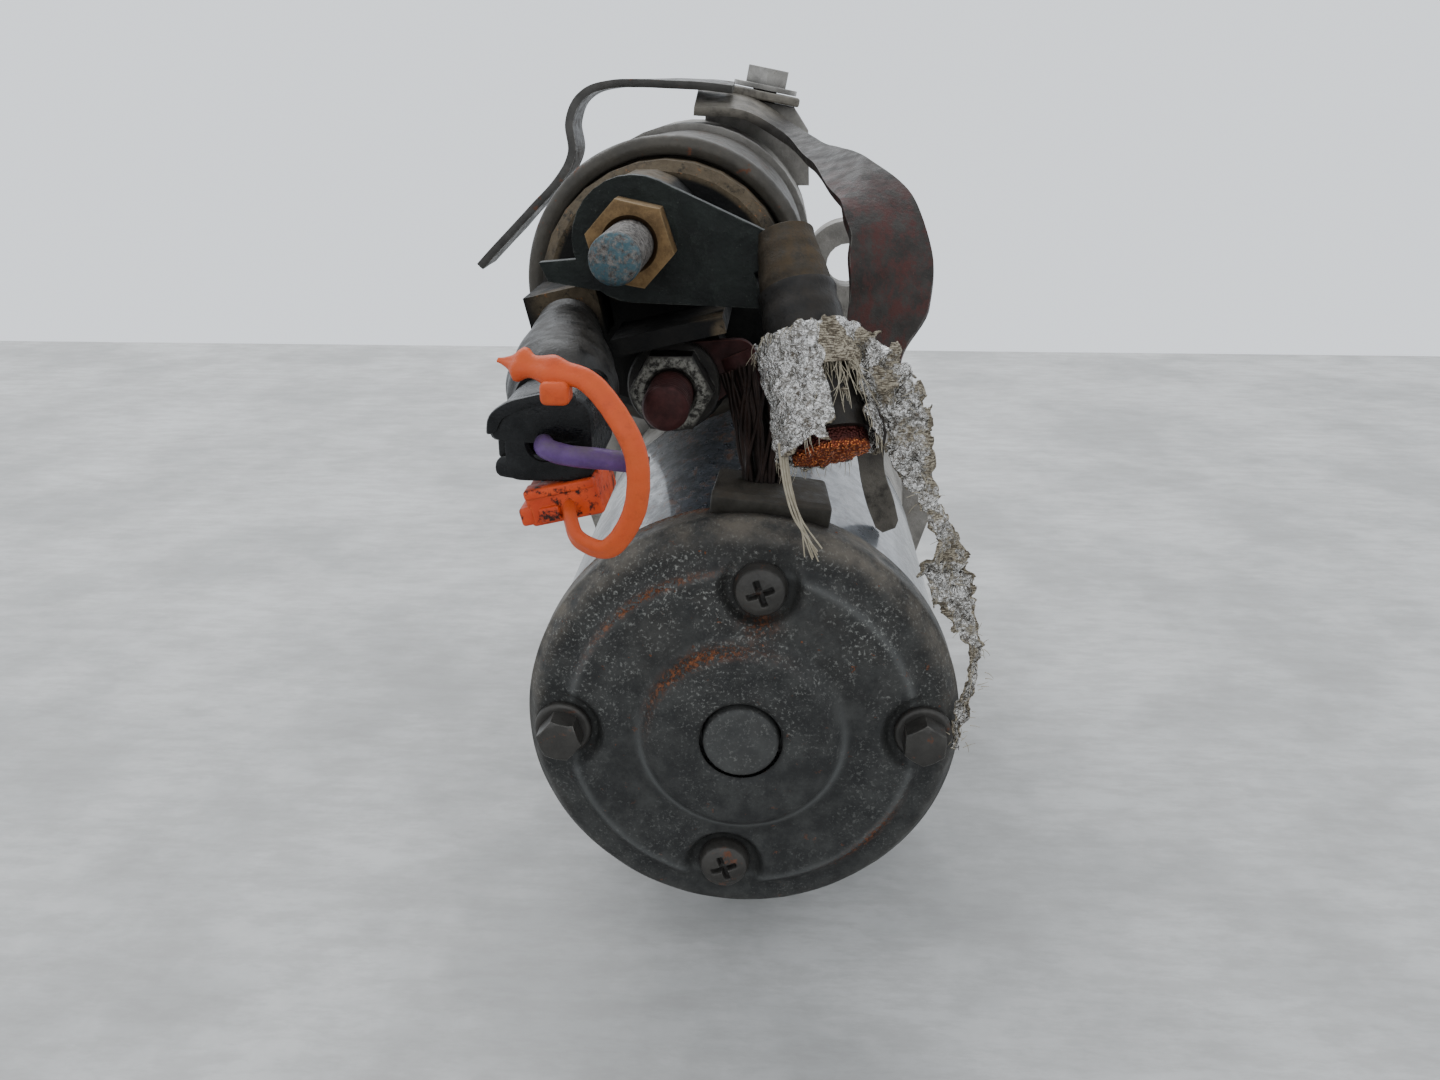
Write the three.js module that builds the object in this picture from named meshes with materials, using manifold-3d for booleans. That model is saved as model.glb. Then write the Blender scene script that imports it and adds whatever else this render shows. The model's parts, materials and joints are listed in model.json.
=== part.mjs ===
// A car starter motor with planetary reduction, in millimetres.
// The shaft lies along Y with the pinion at the +Y end, and the solenoid stands above it, leaning to -X.
// Pieces are placed in the motor frame, whose origin is on the shaft axis at the rear cover's raised
// platform. The whole motor then moves so that its origin is a point on the mounting flange's face.
import * as THREE from 'three';
import { mergeVertices } from 'three/addons/utils/BufferGeometryUtils.js';
import Module from 'manifold-3d';

const wasm = await Module();
wasm.setup();

const TURN = 2 * Math.PI;
const GAP = 0.3; // between pieces that touch
const ALONG_Y = new THREE.Vector3(0, 1, 0);

// Motor body
const COVER_RADIUS = 39;
const COVER_END = 12;
const YOKE_OUTER = 38;
const YOKE_INNER = 34.8;
const YOKE_END = 84;
const THROUGH_BOLT_CIRCLE = 32.1;
const THROUGH_BOLT_HOLE = 2.8;
const THROUGH_BOLT_ANGLE = THREE.MathUtils.degToRad(0.8);
const COVER_SCREW_CIRCLE = 27.8;
const COVER_SCREW_HOLE = 2.3;
const COVER_SCREW_ANGLE = THREE.MathUtils.degToRad(83.7);
const POCKET_FLOOR = 2.2;
const SHAFT_RADIUS = 5;
const MAGNETS = 4;
const BRUSHES = 4;

// Planetary gear
const GEAR_MODULE = 1.1;
const SUN_TEETH = 11;
const PLANET_TEETH = 16;
const RING_TEETH = 43;
const PLANETS = 3;
const PLANET_ORBIT = ((SUN_TEETH + PLANET_TEETH) * GEAR_MODULE) / 2;
const RING_OUTER = 29;
const GEAR_START = 84.6;
const GEAR_END = 98.6;
const PLANET_PIN_RADIUS = 2.5;

// Drive end
const FLANGE_REAR = 140;
const FLANGE_FACE = 149;
const PILOT_RADIUS = 41;
const FLANGE_RADIUS = 49.5;
const NOSE_END = 194;
const WINDOW_TURN = THREE.MathUtils.degToRad(37);
const PINION_MODULE = 2.5;
const PINION_TEETH = 10;
const EARS = [[23, 62.7], [-40, -40]];
const FOOT = [28, -40];
const EAR_RADIUS = 11.5;
const EAR_HOLE_RADIUS = 5.6;
const OUTPUT_SHAFT_END_RADIUS = 6;
const PIVOT_PIN_RADIUS = 3;

// Solenoid, in a frame that leans about the shaft axis
const LEAN = THREE.MathUtils.degToRad(-12.97);
const SOLENOID_HEIGHT = 72.75;
const SOLENOID_FACE = 106;
const BATTERY_STUD_HEIGHT = SOLENOID_HEIGHT + 12.8;
const MOTOR_STUD_HEIGHT = SOLENOID_HEIGHT - 13.8;
const STUD_RADIUS = 4;
const NUT_FLATS = 13;
const SOLENOID_SCREWS = [[-24.4, SOLENOID_HEIGHT], [24.4, SOLENOID_HEIGHT]];

// Shift lever, drawn upright about its pivot and then turned to its rest angle
const LEVER_PIVOT_HEIGHT = 40;
const LEVER_PIVOT_Y = 122;
const LEVER_REST_ANGLE = THREE.MathUtils.degToRad(-7.9);

// Bracket pad on top of the drive housing: the point where its bolt stands, and its slope to the right
const PAD = new THREE.Vector3(0, 136, 103.8);
const PAD_SLOPE = THREE.MathUtils.degToRad(11);
const BRACKET_BOLT_RADIUS = 3;

// Battery cable: where its lug ends, and the way it leaves, down and to the rear
const CABLE_START = new THREE.Vector3(6.4, 20, 82.5);
const CABLE_WAY = new THREE.Vector3(0.21, -0.53, -0.82).normalize();

// The origin of the finished part: on the flange's front face, below its pilot
const ORIGIN = new THREE.Vector3(0, FLANGE_FACE, -43.5);

// ---- Solids ----

// A closed geometry as a manifold-3d solid that faces out.
function toSolid(geometry) {
  const bare = geometry.clone();
  bare.deleteAttribute('normal');
  bare.deleteAttribute('uv');
  const merged = mergeVertices(bare, 1e-4);
  const triangles = [];
  const index = merged.index.array;
  for (let i = 0; i < index.length; i += 3) {
    const [a, b, c] = index.slice(i, i + 3);
    if (a !== b && b !== c && c !== a) triangles.push([a, b, c]);
  }
  const build = (list) => new wasm.Manifold(new wasm.Mesh({
    numProp: 3,
    vertProperties: merged.attributes.position.array,
    triVerts: new Uint32Array(list.flat()),
  }));
  const solid = build(triangles);
  return solid.volume() > 0 ? solid : build(triangles.map(([a, b, c]) => [a, c, b]));
}

function toGeometry(solid) {
  const { vertProperties, triVerts } = solid.getMesh();
  const geometry = new THREE.BufferGeometry();
  geometry.setAttribute('position', new THREE.BufferAttribute(vertProperties, 3));
  geometry.setIndex(new THREE.BufferAttribute(triVerts, 1));
  return geometry;
}

function join(first, ...others) {
  return toGeometry(others.map(toSolid).reduce((sum, next) => sum.add(next), toSolid(first)));
}

function cut(base, ...tools) {
  return toGeometry(tools.map(toSolid).reduce((rest, tool) => rest.subtract(tool), toSolid(base)));
}

// A body turned about the Y axis from [radius, y] points.
function turned(profile, segments = 32) {
  const points = profile.map(([radius, y]) => new THREE.Vector2(radius, y));
  if (profile[0][0] > 0) points.push(points[0].clone());
  return new THREE.LatheGeometry(points, segments);
}

function disc(radius, yLow, yHigh, segments = 32) {
  return turned([[0, yLow], [radius, yLow], [radius, yHigh], [0, yHigh]], segments);
}

function tube(inner, outer, yLow, yHigh, segments = 32) {
  return turned([[inner, yLow], [outer, yLow], [outer, yHigh], [inner, yHigh]], segments);
}

// An outline in x and z, extruded along Y.
function plate(shape, yLow, yHigh, curveSegments = 8) {
  const settings = { depth: yHigh - yLow, bevelEnabled: false, curveSegments };
  return new THREE.ExtrudeGeometry(shape, settings).rotateX(Math.PI / 2).translate(0, yHigh, 0);
}

function polygon(points) {
  return new THREE.Shape(points.map(([x, z]) => new THREE.Vector2(x, z)));
}

// The outline around two circles in x and z.
function aroundTwo([x1, z1], radius1, [x2, z2], radius2) {
  const way = Math.atan2(z2 - z1, x2 - x1);
  const side = Math.acos((radius1 - radius2) / Math.hypot(x2 - x1, z2 - z1));
  const shape = new THREE.Shape();
  shape.absarc(x1, z1, radius1, way + side, way - side + TURN, false);
  shape.absarc(x2, z2, radius2, way - side, way + side, false);
  return shape;
}

function block([xLow, xHigh], [yLow, yHigh], [zLow, zHigh]) {
  return new THREE.BoxGeometry(xHigh - xLow, yHigh - yLow, zHigh - zLow)
    .translate((xLow + xHigh) / 2, (yLow + yHigh) / 2, (zLow + zHigh) / 2);
}

// A round bar between two points. It tapers if its radius at the second point is given.
function bar(radius, from, to, sides = 16, endRadius = radius) {
  const way = new THREE.Vector3().subVectors(to, from);
  const turn = new THREE.Quaternion().setFromUnitVectors(ALONG_Y, way.clone().normalize());
  const middle = from.clone().addScaledVector(way, 0.5);
  return new THREE.CylinderGeometry(endRadius, radius, way.length(), sides)
    .applyQuaternion(turn)
    .translate(middle.x, middle.y, middle.z);
}

function hexagon(acrossFlats, yLow, yHigh) {
  return disc(acrossFlats / Math.sqrt(3), yLow, yHigh, 6);
}

// A section swept along a smooth curve through the given points.
function swept(points, section, steps) {
  const extrudePath = new THREE.CatmullRomCurve3(points.map((p) => new THREE.Vector3(...p)));
  return new THREE.ExtrudeGeometry(section, { steps, extrudePath, bevelEnabled: false });
}

function ovalSection(halfWide, halfThick, sides = 8) {
  const angles = Array.from({ length: sides }, (_, i) => (i * TURN) / sides);
  return polygon(angles.map((angle) => [halfWide * Math.cos(angle), halfThick * Math.sin(angle)]));
}

// A bent strip of sheet metal. Each station is the middle of the strip and the half width across it.
function strip(stations, thickness, steps) {
  const middle = new THREE.CatmullRomCurve3(stations.map(([point]) => new THREE.Vector3(...point)));
  const across = new THREE.CatmullRomCurve3(stations.map(([, half]) => new THREE.Vector3(...half)));
  const geometry = new THREE.BoxGeometry(1, 2, thickness, steps, 1, 1);
  const place = geometry.getAttribute('position');
  for (let i = 0; i < place.count; i += 1) {
    const along = place.getX(i) + 0.5;
    const half = across.getPoint(along);
    const normal = middle.getTangent(along).cross(half).normalize();
    const point = middle.getPoint(along).addScaledVector(half, place.getY(i));
    point.addScaledVector(normal, place.getZ(i));
    place.setXYZ(i, point.x, point.y, point.z);
  }
  return geometry;
}

// The outline of a gear with straight-sided teeth; a root larger than the tip makes an inner gear.
function gearOutline(teeth, rootRadius, tipRadius, firstTooth = 0) {
  const pitch = TURN / teeth;
  const corners = [[rootRadius, -0.29], [tipRadius, -0.11], [tipRadius, 0.11], [rootRadius, 0.29]];
  const points = [];
  for (let tooth = 0; tooth < teeth; tooth += 1) {
    for (const [radius, offset] of corners) {
      const angle = firstTooth + (tooth + offset) * pitch;
      points.push([radius * Math.cos(angle), radius * Math.sin(angle)]);
    }
  }
  return polygon(points);
}

function circlePath(radius, x = 0, z = 0) {
  return new THREE.Path().absarc(x, z, radius, 0, TURN, true);
}

// ---- Scene graph ----

const motor = new THREE.Group();
motor.position.copy(ORIGIN).negate();
const leaning = new THREE.Group();
leaning.rotation.y = LEAN;
motor.add(leaning);

function material(color, roughness, metalness) {
  return new THREE.MeshStandardMaterial({ color, roughness, metalness });
}

const castAluminium = material(0x8d8f90, 0.6, 0.7);
const coverPaint = material(0x55585a, 0.65, 0.4);
const yokePaint = material(0x7f8c98, 0.45, 0.3);
const darkSteel = material(0x5a5650, 0.55, 0.8);
const brightSteel = material(0x9a9a98, 0.35, 0.9);
const gearSteel = material(0x77787a, 0.4, 0.9);
const brass = material(0x9c7a4a, 0.5, 0.7);
const copper = material(0xa8552e, 0.55, 0.8);
const blackPlastic = material(0x26282a, 0.6, 0);
const tanPlastic = material(0x7a6a55, 0.8, 0);
const blackRubber = material(0x3a3835, 0.85, 0);
const orangePlastic = material(0xd9603a, 0.6, 0);
const purplePlastic = material(0x8d7ab0, 0.6, 0);
const magnetCeramic = material(0x3d3d40, 0.8, 0.1);
const foil = material(0xc9c6be, 0.4, 0.6);

function add(parent, name, geometry, look, position = [0, 0, 0], turnAboutY = 0) {
  const flat = toGeometry(toSolid(geometry)).toNonIndexed();
  flat.computeVertexNormals();
  const mesh = new THREE.Mesh(flat, look);
  mesh.name = name;
  mesh.position.set(...position);
  mesh.rotation.y = turnAboutY;
  parent.add(mesh);
  return mesh;
}

function onCircle(radius, angle) {
  return [radius * Math.cos(angle), 0, radius * Math.sin(angle)];
}

function hole(radius, circle, angle, yLow, yHigh, segments = 16) {
  return disc(radius, yLow, yHigh, segments).translate(...onCircle(circle, angle));
}

const BOLT_ANGLES = [THROUGH_BOLT_ANGLE, THROUGH_BOLT_ANGLE + Math.PI];
const SCREW_ANGLES = [COVER_SCREW_ANGLE, COVER_SCREW_ANGLE + Math.PI];

function boltHoles(yLow, yHigh) {
  return BOLT_ANGLES.map((angle) => hole(THROUGH_BOLT_HOLE, THROUGH_BOLT_CIRCLE, angle, yLow, yHigh, 10));
}

function screwHoles(yLow, yHigh) {
  return SCREW_ANGLES.map((angle) => hole(COVER_SCREW_HOLE, COVER_SCREW_CIRCLE, angle, yLow, yHigh, 10));
}

// ---- Rear end ----

// The block of the lead grommet, and the larger and deeper one that makes room for it.
function grommetBlock(grow = 0, bottom = 35) {
  return block([-10.5 - grow, 10.5 + grow], [8.5 - grow, 24 + grow], [bottom, 41.8 + grow])
    .rotateY(THREE.MathUtils.degToRad(6.5));
}

function grommetRoom() {
  return grommetBlock(GAP, 30);
}

function rearCover() {
  const shell = turned([
    [7.35, -2.9], [16.4, -2.9], [19.2, 0], [31, 0], [32.4, 2], [35.4, 2],
    [37.4, 2.8], [38.6, 4.3], [COVER_RADIUS, 6.2], [COVER_RADIUS, COVER_END], [36.5, COVER_END],
    [36.5, 6.6], [34.5, 4.8], [14.2, 4.8], [14.2, 9.2], [11.3, 9.2], [11.3, 1.7], [7.35, 1.7],
  ], 36);
  const pockets = [
    ...BOLT_ANGLES.map((angle) => hole(7.8, THROUGH_BOLT_CIRCLE + 0.6, angle, -1, POCKET_FLOOR)),
    ...SCREW_ANGLES.map((angle) => hole(7.2, COVER_SCREW_CIRCLE + 0.4, angle, -1, POCKET_FLOOR)),
  ];
  return cut(shell, ...pockets, ...boltHoles(0, 8), ...screwHoles(0, 8), grommetRoom());
}

function coverScrew() {
  const head = turned([[0, -1.2], [3.2, -0.8], [4.5, 0.6], [4.65, 1.9], [2, 1.9], [2, 14], [0, 14]], 16);
  const slot = block([-2.6, 2.6], [-2, 0.3], [-0.55, 0.55]);
  const turns = [0.35, 0.35 + Math.PI / 2];
  return cut(head, ...turns.map((angle) => slot.clone().rotateY(angle)));
}

function throughBolt() {
  const head = join(hexagon(8, -3.6, 1.2), disc(5.1, 0.8, 1.9, 16));
  return join(head, disc(2.5, 1.5, 101, 10));
}

function brushPlate() {
  const holders = Array.from({ length: BRUSHES }, (_, i) => {
    const shell = block([15.8, 28], [14, 27.4], [-5, 5]);
    const channel = block([15, 29], [16.2, 25.8], [-3.3, 3.3]);
    return cut(shell, channel).rotateY(((i + 0.5) * TURN) / BRUSHES);
  });
  const ring = cut(tube(15.5, 34, 12.6, 14.6), ...boltHoles(12, 15), ...screwHoles(12, 15));
  return join(ring, ...holders);
}

function addRearEnd() {
  add(motor, 'rear_cover', rearCover(), coverPaint);
  add(motor, 'cover_disc', disc(7.05, -3.5, 1.4, 24), coverPaint);
  ['cover_screw_top', 'cover_screw_bottom'].forEach((name, i) => {
    add(motor, name, coverScrew(), darkSteel, onCircle(COVER_SCREW_CIRCLE, SCREW_ANGLES[i]));
  });
  ['through_bolt_right', 'through_bolt_left'].forEach((name, i) => {
    add(motor, name, throughBolt(), darkSteel, onCircle(THROUGH_BOLT_CIRCLE, BOLT_ANGLES[i]));
  });
  add(motor, 'rear_bearing', tube(4, 11, 2, 9, 20), brightSteel);
  add(motor, 'brush_plate', brushPlate(), brightSteel);
  for (let i = 0; i < BRUSHES; i += 1) {
    const brush = block([13.8, 24], [16.5, 25.5], [-3, 3]);
    add(motor, `brush_${i + 1}`, brush, magnetCeramic, [0, 0, 0], ((i + 0.5) * TURN) / BRUSHES);
  }
  const leadHole = block([-2.2, 7], [13.4, 20.2], [30, 44]);
  add(motor, 'lead_grommet', cut(grommetBlock(), leadHole), blackRubber);
}

// ---- Yoke and armature ----

function magnet() {
  const shape = new THREE.Shape();
  const half = THREE.MathUtils.degToRad(33);
  shape.absarc(0, 0, 34.4, -half, half, false);
  shape.absarc(0, 0, 28, half, -half, true);
  return plate(shape, 34, 74, 6);
}

function armatureCore() {
  const slots = 14;
  const pitch = TURN / slots;
  const points = [];
  for (let slot = 0; slot < slots; slot += 1) {
    for (const [radius, offset] of [[27.3, -0.42], [27.3, 0], [27.3, 0.42], [21, 0.42], [21, 0.58]]) {
      const angle = (slot + offset) * pitch;
      points.push([radius * Math.cos(angle), radius * Math.sin(angle)]);
    }
  }
  const stack = polygon(points);
  stack.holes.push(circlePath(SHAFT_RADIUS + GAP));
  const windings = [tube(8, 24, 31, 36.5, 14), tube(8, 24, 71.5, 77, 14)];
  return join(plate(stack, 36, 72, 6), ...windings);
}

function armatureShaft() {
  const shaft = turned([
    [0, 2.2], [3.7, 2.2], [3.7, 9.8], [SHAFT_RADIUS, 9.8], [SHAFT_RADIUS, 83.6], [4.6, 84],
    [4.6, GEAR_END], [3.5, GEAR_END + 0.6], [3.5, 103.5], [0, 103.5],
  ], 16);
  const sun = gearOutline(SUN_TEETH, rootRadius(SUN_TEETH), tipRadius(SUN_TEETH));
  return join(shaft, plate(sun, GEAR_START, GEAR_END));
}

function addYokeAndArmature() {
  const shell = tube(YOKE_INNER, YOKE_OUTER, COVER_END + GAP, YOKE_END, 40);
  add(motor, 'yoke', cut(shell, grommetRoom()), yokePaint);
  for (let i = 0; i < MAGNETS; i += 1) {
    add(motor, `magnet_${i + 1}`, magnet(), magnetCeramic, [0, 0, 0], ((i + 0.5) * TURN) / MAGNETS);
  }
  add(motor, 'armature_shaft', armatureShaft(), brightSteel);
  add(motor, 'armature_core', armatureCore(), copper);
  add(motor, 'commutator', tube(SHAFT_RADIUS + GAP, 13.4, 15.6, 30.5, 20), copper);
  const centrePlate = tube(SHAFT_RADIUS + GAP, YOKE_INNER - 2 * GAP, 80.7, 83.7);
  add(motor, 'centre_plate', cut(centrePlate, ...boltHoles(80, 84.5)), brightSteel);
}

// ---- Planetary gear ----

function rootRadius(teeth) {
  return (teeth / 2 - 1.2) * GEAR_MODULE;
}

function tipRadius(teeth) {
  return (teeth / 2 + 0.9) * GEAR_MODULE;
}

// The angle of a planet's first tooth that puts it in mesh with the sun, for a planet at this place.
function planetPhase(place) {
  const sunTooth = (-place * SUN_TEETH) / TURN + 0.5;
  return place + Math.PI - (sunTooth * TURN) / PLANET_TEETH;
}

function ringGear() {
  const atPlanet = Math.PI / 2;
  const planetTooth = ((planetPhase(atPlanet) - atPlanet) * PLANET_TEETH) / TURN + 0.5;
  const firstTooth = atPlanet + (planetTooth * TURN) / RING_TEETH;
  const root = (RING_TEETH / 2 + 1.2) * GEAR_MODULE;
  const tip = (RING_TEETH / 2 - 0.9) * GEAR_MODULE;
  const shape = new THREE.Shape().absarc(0, 0, RING_OUTER, 0, TURN, false);
  shape.holes.push(gearOutline(RING_TEETH, root, tip, firstTooth));
  return plate(shape, GEAR_START, GEAR_END, 16);
}

function planetGear(place) {
  const root = rootRadius(PLANET_TEETH);
  const tip = tipRadius(PLANET_TEETH);
  const shape = gearOutline(PLANET_TEETH, root, tip, planetPhase(place));
  shape.holes.push(circlePath(PLANET_PIN_RADIUS + GAP));
  return plate(shape, GEAR_START + 0.6, GEAR_END - 0.6, 6);
}

function outputShaft() {
  const shaft = turned([
    [0, 105], [3.9, 105], [3.9, 99], [20.5, 99], [20.5, 103], [7, 103], [7, 150],
    [OUTPUT_SHAFT_END_RADIUS, 151], [OUTPUT_SHAFT_END_RADIUS, NOSE_END - 1], [0, NOSE_END - 1],
  ], 20);
  const pin = disc(PLANET_PIN_RADIUS, GEAR_START + 0.6, 100, 10);
  const pins = planetPlaces().map((place) => pin.clone().translate(...onCircle(PLANET_ORBIT, place)));
  return join(shaft, ...pins);
}

function planetPlaces() {
  return Array.from({ length: PLANETS }, (_, i) => Math.PI / 2 + (i * TURN) / PLANETS);
}

function addPlanetaryGear() {
  add(motor, 'ring_gear', ringGear(), gearSteel);
  planetPlaces().forEach((place, i) => {
    add(motor, `planet_gear_${i + 1}`, planetGear(place), gearSteel, onCircle(PLANET_ORBIT, place));
  });
  add(motor, 'output_shaft', outputShaft(), gearSteel);
}

// ---- Drive end ----

function clutch() {
  return turned([
    [7.3, 112], [16, 112], [16, 114], [12, 114], [12, 119], [16, 119], [16, 121.5], [21, 122.5],
    [21, 144.5], [19.5, 146], [7.3, 146],
  ], 24);
}

function pinion() {
  const pitchRadius = (PINION_TEETH * PINION_MODULE) / 2;
  const teeth = plate(gearOutline(PINION_TEETH, pitchRadius - 2.6, pitchRadius + 2.4), 152, 168);
  const neck = disc(9.5, 146.4, 152.5, 20);
  const bores = [disc(OUTPUT_SHAFT_END_RADIUS + 0.4, 151.2, 169, 20), disc(7 + GAP, 146, 151.6, 20)];
  return cut(join(teeth, neck), ...bores);
}

// A round bar across X, centred on x = 0.
function crossBar(radius, halfLength, y = 0, z = 0) {
  return bar(radius, new THREE.Vector3(-halfLength, y, z), new THREE.Vector3(halfLength, y, z));
}

// The same block on the right and, mirrored, on the left.
function blockPair([xLow, xHigh], ySpan, zSpan) {
  return [block([xLow, xHigh], ySpan, zSpan), block([-xHigh, -xLow], ySpan, zSpan)];
}

function shiftLever() {
  const reach = SOLENOID_HEIGHT - LEVER_PIVOT_HEIGHT;
  const top = crossBar(3, 2.5, 0, reach);
  const arm = block([-2.5, 2.5], [-2.4, 2.4], [0, reach]);
  const hub = crossBar(6, 9);
  const bridge = block([-19, 19], [-2.5, 2.5], [-18.5, -14.5]);
  const neck = block([-6, 6], [-2.5, 2.5], [-17, 0]);
  const legs = blockPair([17, 19], [-2.5, 2.5], [-43, -15]);
  const pads = blockPair([12.6, 18], [-2.1, 2.1], [-43, -37]);
  const pinHole = crossBar(PIVOT_PIN_RADIUS + GAP, 10);
  return cut(join(hub, arm, top, neck, bridge, ...legs, ...pads), pinHole);
}

function flangePlate() {
  const web = (from, fromRadius, to, curveSegments) => plate(
    aroundTwo(from, fromRadius, to, EAR_RADIUS), FLANGE_REAR, FLANGE_FACE, curveSegments,
  );
  const webs = [...EARS, FOOT].map((corner) => web([0, 0], 30, corner, 10));
  return join(disc(FLANGE_RADIUS, FLANGE_REAR, FLANGE_FACE), ...webs, web(EARS[1], EAR_RADIUS, FOOT, 6));
}

function housingOutside() {
  const rear = YOKE_END + GAP;
  const neck = turned([
    [0, rear], [YOKE_OUTER, rear], [YOKE_OUTER, 108], [PILOT_RADIUS, FLANGE_REAR + 1],
    [0, FLANGE_REAR + 1],
  ]);
  const solenoidSeat = aroundTwo([0, 34], 27, [0, SOLENOID_HEIGHT], 28.5);
  const tower = plate(solenoidSeat, SOLENOID_FACE + GAP, FLANGE_REAR + 1, 10).rotateY(LEAN);
  const nose = turned([
    [0, FLANGE_REAR], [PILOT_RADIUS, FLANGE_REAR], [PILOT_RADIUS, 155], [30, 157], [26, 170],
    [24, 184], [15, 190], [13.5, NOSE_END], [0, NOSE_END],
  ]);
  const bracketPad = plate(polygon([[-14, 106.5], [8, 102.2], [11.5, 97], [12, 84], [-14, 84]]), 127, 146);
  return join(neck, tower, nose, bracketPad, flangePlate());
}

function housingInside() {
  const leverRoom = aroundTwo([0, 10], 21, [0, SOLENOID_HEIGHT], 20);
  const onSolenoidScrews = (tool) => SOLENOID_SCREWS.map(([x, z]) => tool.clone().translate(x, 0, z));
  const leaned = [
    plate(leverRoom, 110.5, 137, 6),
    disc(10.6, SOLENOID_FACE, 112, 20).translate(0, 0, SOLENOID_HEIGHT),
    crossBar(PIVOT_PIN_RADIUS + GAP, 40, LEVER_PIVOT_Y, LEVER_PIVOT_HEIGHT),
    ...onSolenoidScrews(disc(2.4, SOLENOID_FACE, 150, 12)),
    ...onSolenoidScrews(disc(6, FLANGE_REAR + 1, 150, 16)),
  ];
  const earHole = disc(EAR_HOLE_RADIUS, FLANGE_REAR - 1, FLANGE_FACE + 1, 20);
  return [
    disc(RING_OUTER + GAP, YOKE_END, GEAR_END + 0.6),
    disc(22.5, GEAR_END, 104, 24),
    disc(7.6, 100, 110, 16),
    disc(25, 109, 150, 24),
    disc(22.5, 149, 158.6, 24),
    disc(19, 158, 184, 24),
    disc(9.3, 183, NOSE_END + 1, 16),
    block([8, 60], [160, 182], [-16, 16]).rotateY(WINDOW_TURN),
    onPad(disc(BRACKET_BOLT_RADIUS + GAP, -14, 2, 16)),
    ...leaned.map((tool) => tool.rotateY(LEAN)),
    ...boltHoles(YOKE_END, 102),
    ...EARS.map(([x, z]) => earHole.clone().translate(x, 0, z)),
  ];
}

// Stands a geometry on the bracket pad, with its Y axis along the pad's normal.
function onPad(geometry) {
  return geometry.rotateX(Math.PI / 2).rotateY(PAD_SLOPE).translate(PAD.x, PAD.y, PAD.z);
}

function addDriveEnd() {
  add(motor, 'drive_housing', cut(housingOutside(), ...housingInside()), castAluminium);
  const shaftRoom = OUTPUT_SHAFT_END_RADIUS + GAP;
  add(motor, 'nose_bush', tube(shaftRoom, 9, 184.4, NOSE_END, 16), brass);
  add(motor, 'clutch', clutch(), gearSteel);
  add(motor, 'pinion', pinion(), gearSteel);
  add(motor, 'stop_collar', tube(shaftRoom, 9, 180, 183, 20), brightSteel);
  const pin = crossBar(PIVOT_PIN_RADIUS, 32);
  const pivot = [0, LEVER_PIVOT_Y, LEVER_PIVOT_HEIGHT];
  add(leaning, 'pivot_pin', pin, brightSteel, pivot);
  const lever = add(leaning, 'shift_lever', shiftLever(), darkSteel, pivot);
  lever.rotation.x = LEVER_REST_ANGLE;
}

// ---- Solenoid, in the leaning frame ----

function solenoidCase() {
  const shell = turned([
    [24.3, 50], [26.5, 49.6], [28, 50.6], [28, 53.4], [27, 54.6], [27, SOLENOID_FACE],
    [10.3, SOLENOID_FACE], [10.3, 102.3], [25.2, 102.3], [25.2, 52], [24.3, 51.6],
  ], 36);
  const screwHole = disc(2.3, 102.5, 107, 10);
  return cut(shell, ...SOLENOID_SCREWS.map(([x]) => screwHole.clone().translate(x, 0, 0)));
}

function solenoidCap() {
  const body = turned([
    [0, 42], [22, 42], [23.9, 44], [23.9, 52.2], [24.8, 52.2], [24.8, 58], [21, 58], [21, 46], [0, 46],
  ], 28);
  const up = BATTERY_STUD_HEIGHT - SOLENOID_HEIGHT;
  const down = MOTOR_STUD_HEIGHT - SOLENOID_HEIGHT;
  const bosses = [
    disc(10, 21.3, 42.5, 16).translate(0, 0, up),
    disc(9, 26.3, 42.5, 16).translate(0, 0, down),
    plate(aroundTwo([0, up], 8, [0, down], 9.5), 30, 42.5, 6),
    block([-7.5, 12], [14.5, 42.5], [-5.1, -2.1]),
    block([-22.5, -9.5], [24, 42.5], [-2.5, 6.8]),
  ];
  const studHoles = [up, down].map((z) => disc(STUD_RADIUS + GAP, 20, 47, 16).translate(0, 0, z));
  const bladeSlot = block([-19.3, -13.7], [20, 47], [1.4, 2.8]);
  return cut(join(body, ...bosses), ...studHoles, bladeSlot);
}

function stud(tip) {
  return turned([
    [0, tip], [3.1, tip], [STUD_RADIUS, tip + 1], [STUD_RADIUS, 46.3], [6, 46.3], [6, 49], [0, 49],
  ], 16);
}

function plunger() {
  const core = turned([[0, 91.5], [7, 91.5], [7, 79.5], [9.7, 79.5], [9.7, 112], [0, 112]], 20);
  const clevis = block([-6, 6], [111, 134], [-4, 4]);
  const leverSlot = block([-2.9, 2.9], [123.1, 129.9], [-5, 5]);
  return join(core, cut(clevis, leverSlot));
}

function returnSpring() {
  const steps = 40;
  const stepsPerCoil = 8;
  const radius = 5.2;
  const points = Array.from({ length: steps + 1 }, (_, i) => {
    const angle = (i * TURN) / stepsPerCoil;
    return [radius * Math.cos(angle), 71.2 + (19.4 * i) / steps, radius * Math.sin(angle)];
  });
  return swept(points, ovalSection(0.65, 0.65, 5), steps);
}

function contactPlate() {
  const plateShape = aroundTwo([0, 12.2], 6, [0, -12.2], 6);
  return join(plate(plateShape, 52, 54, 6), disc(2, 51, 73, 12));
}

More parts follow.
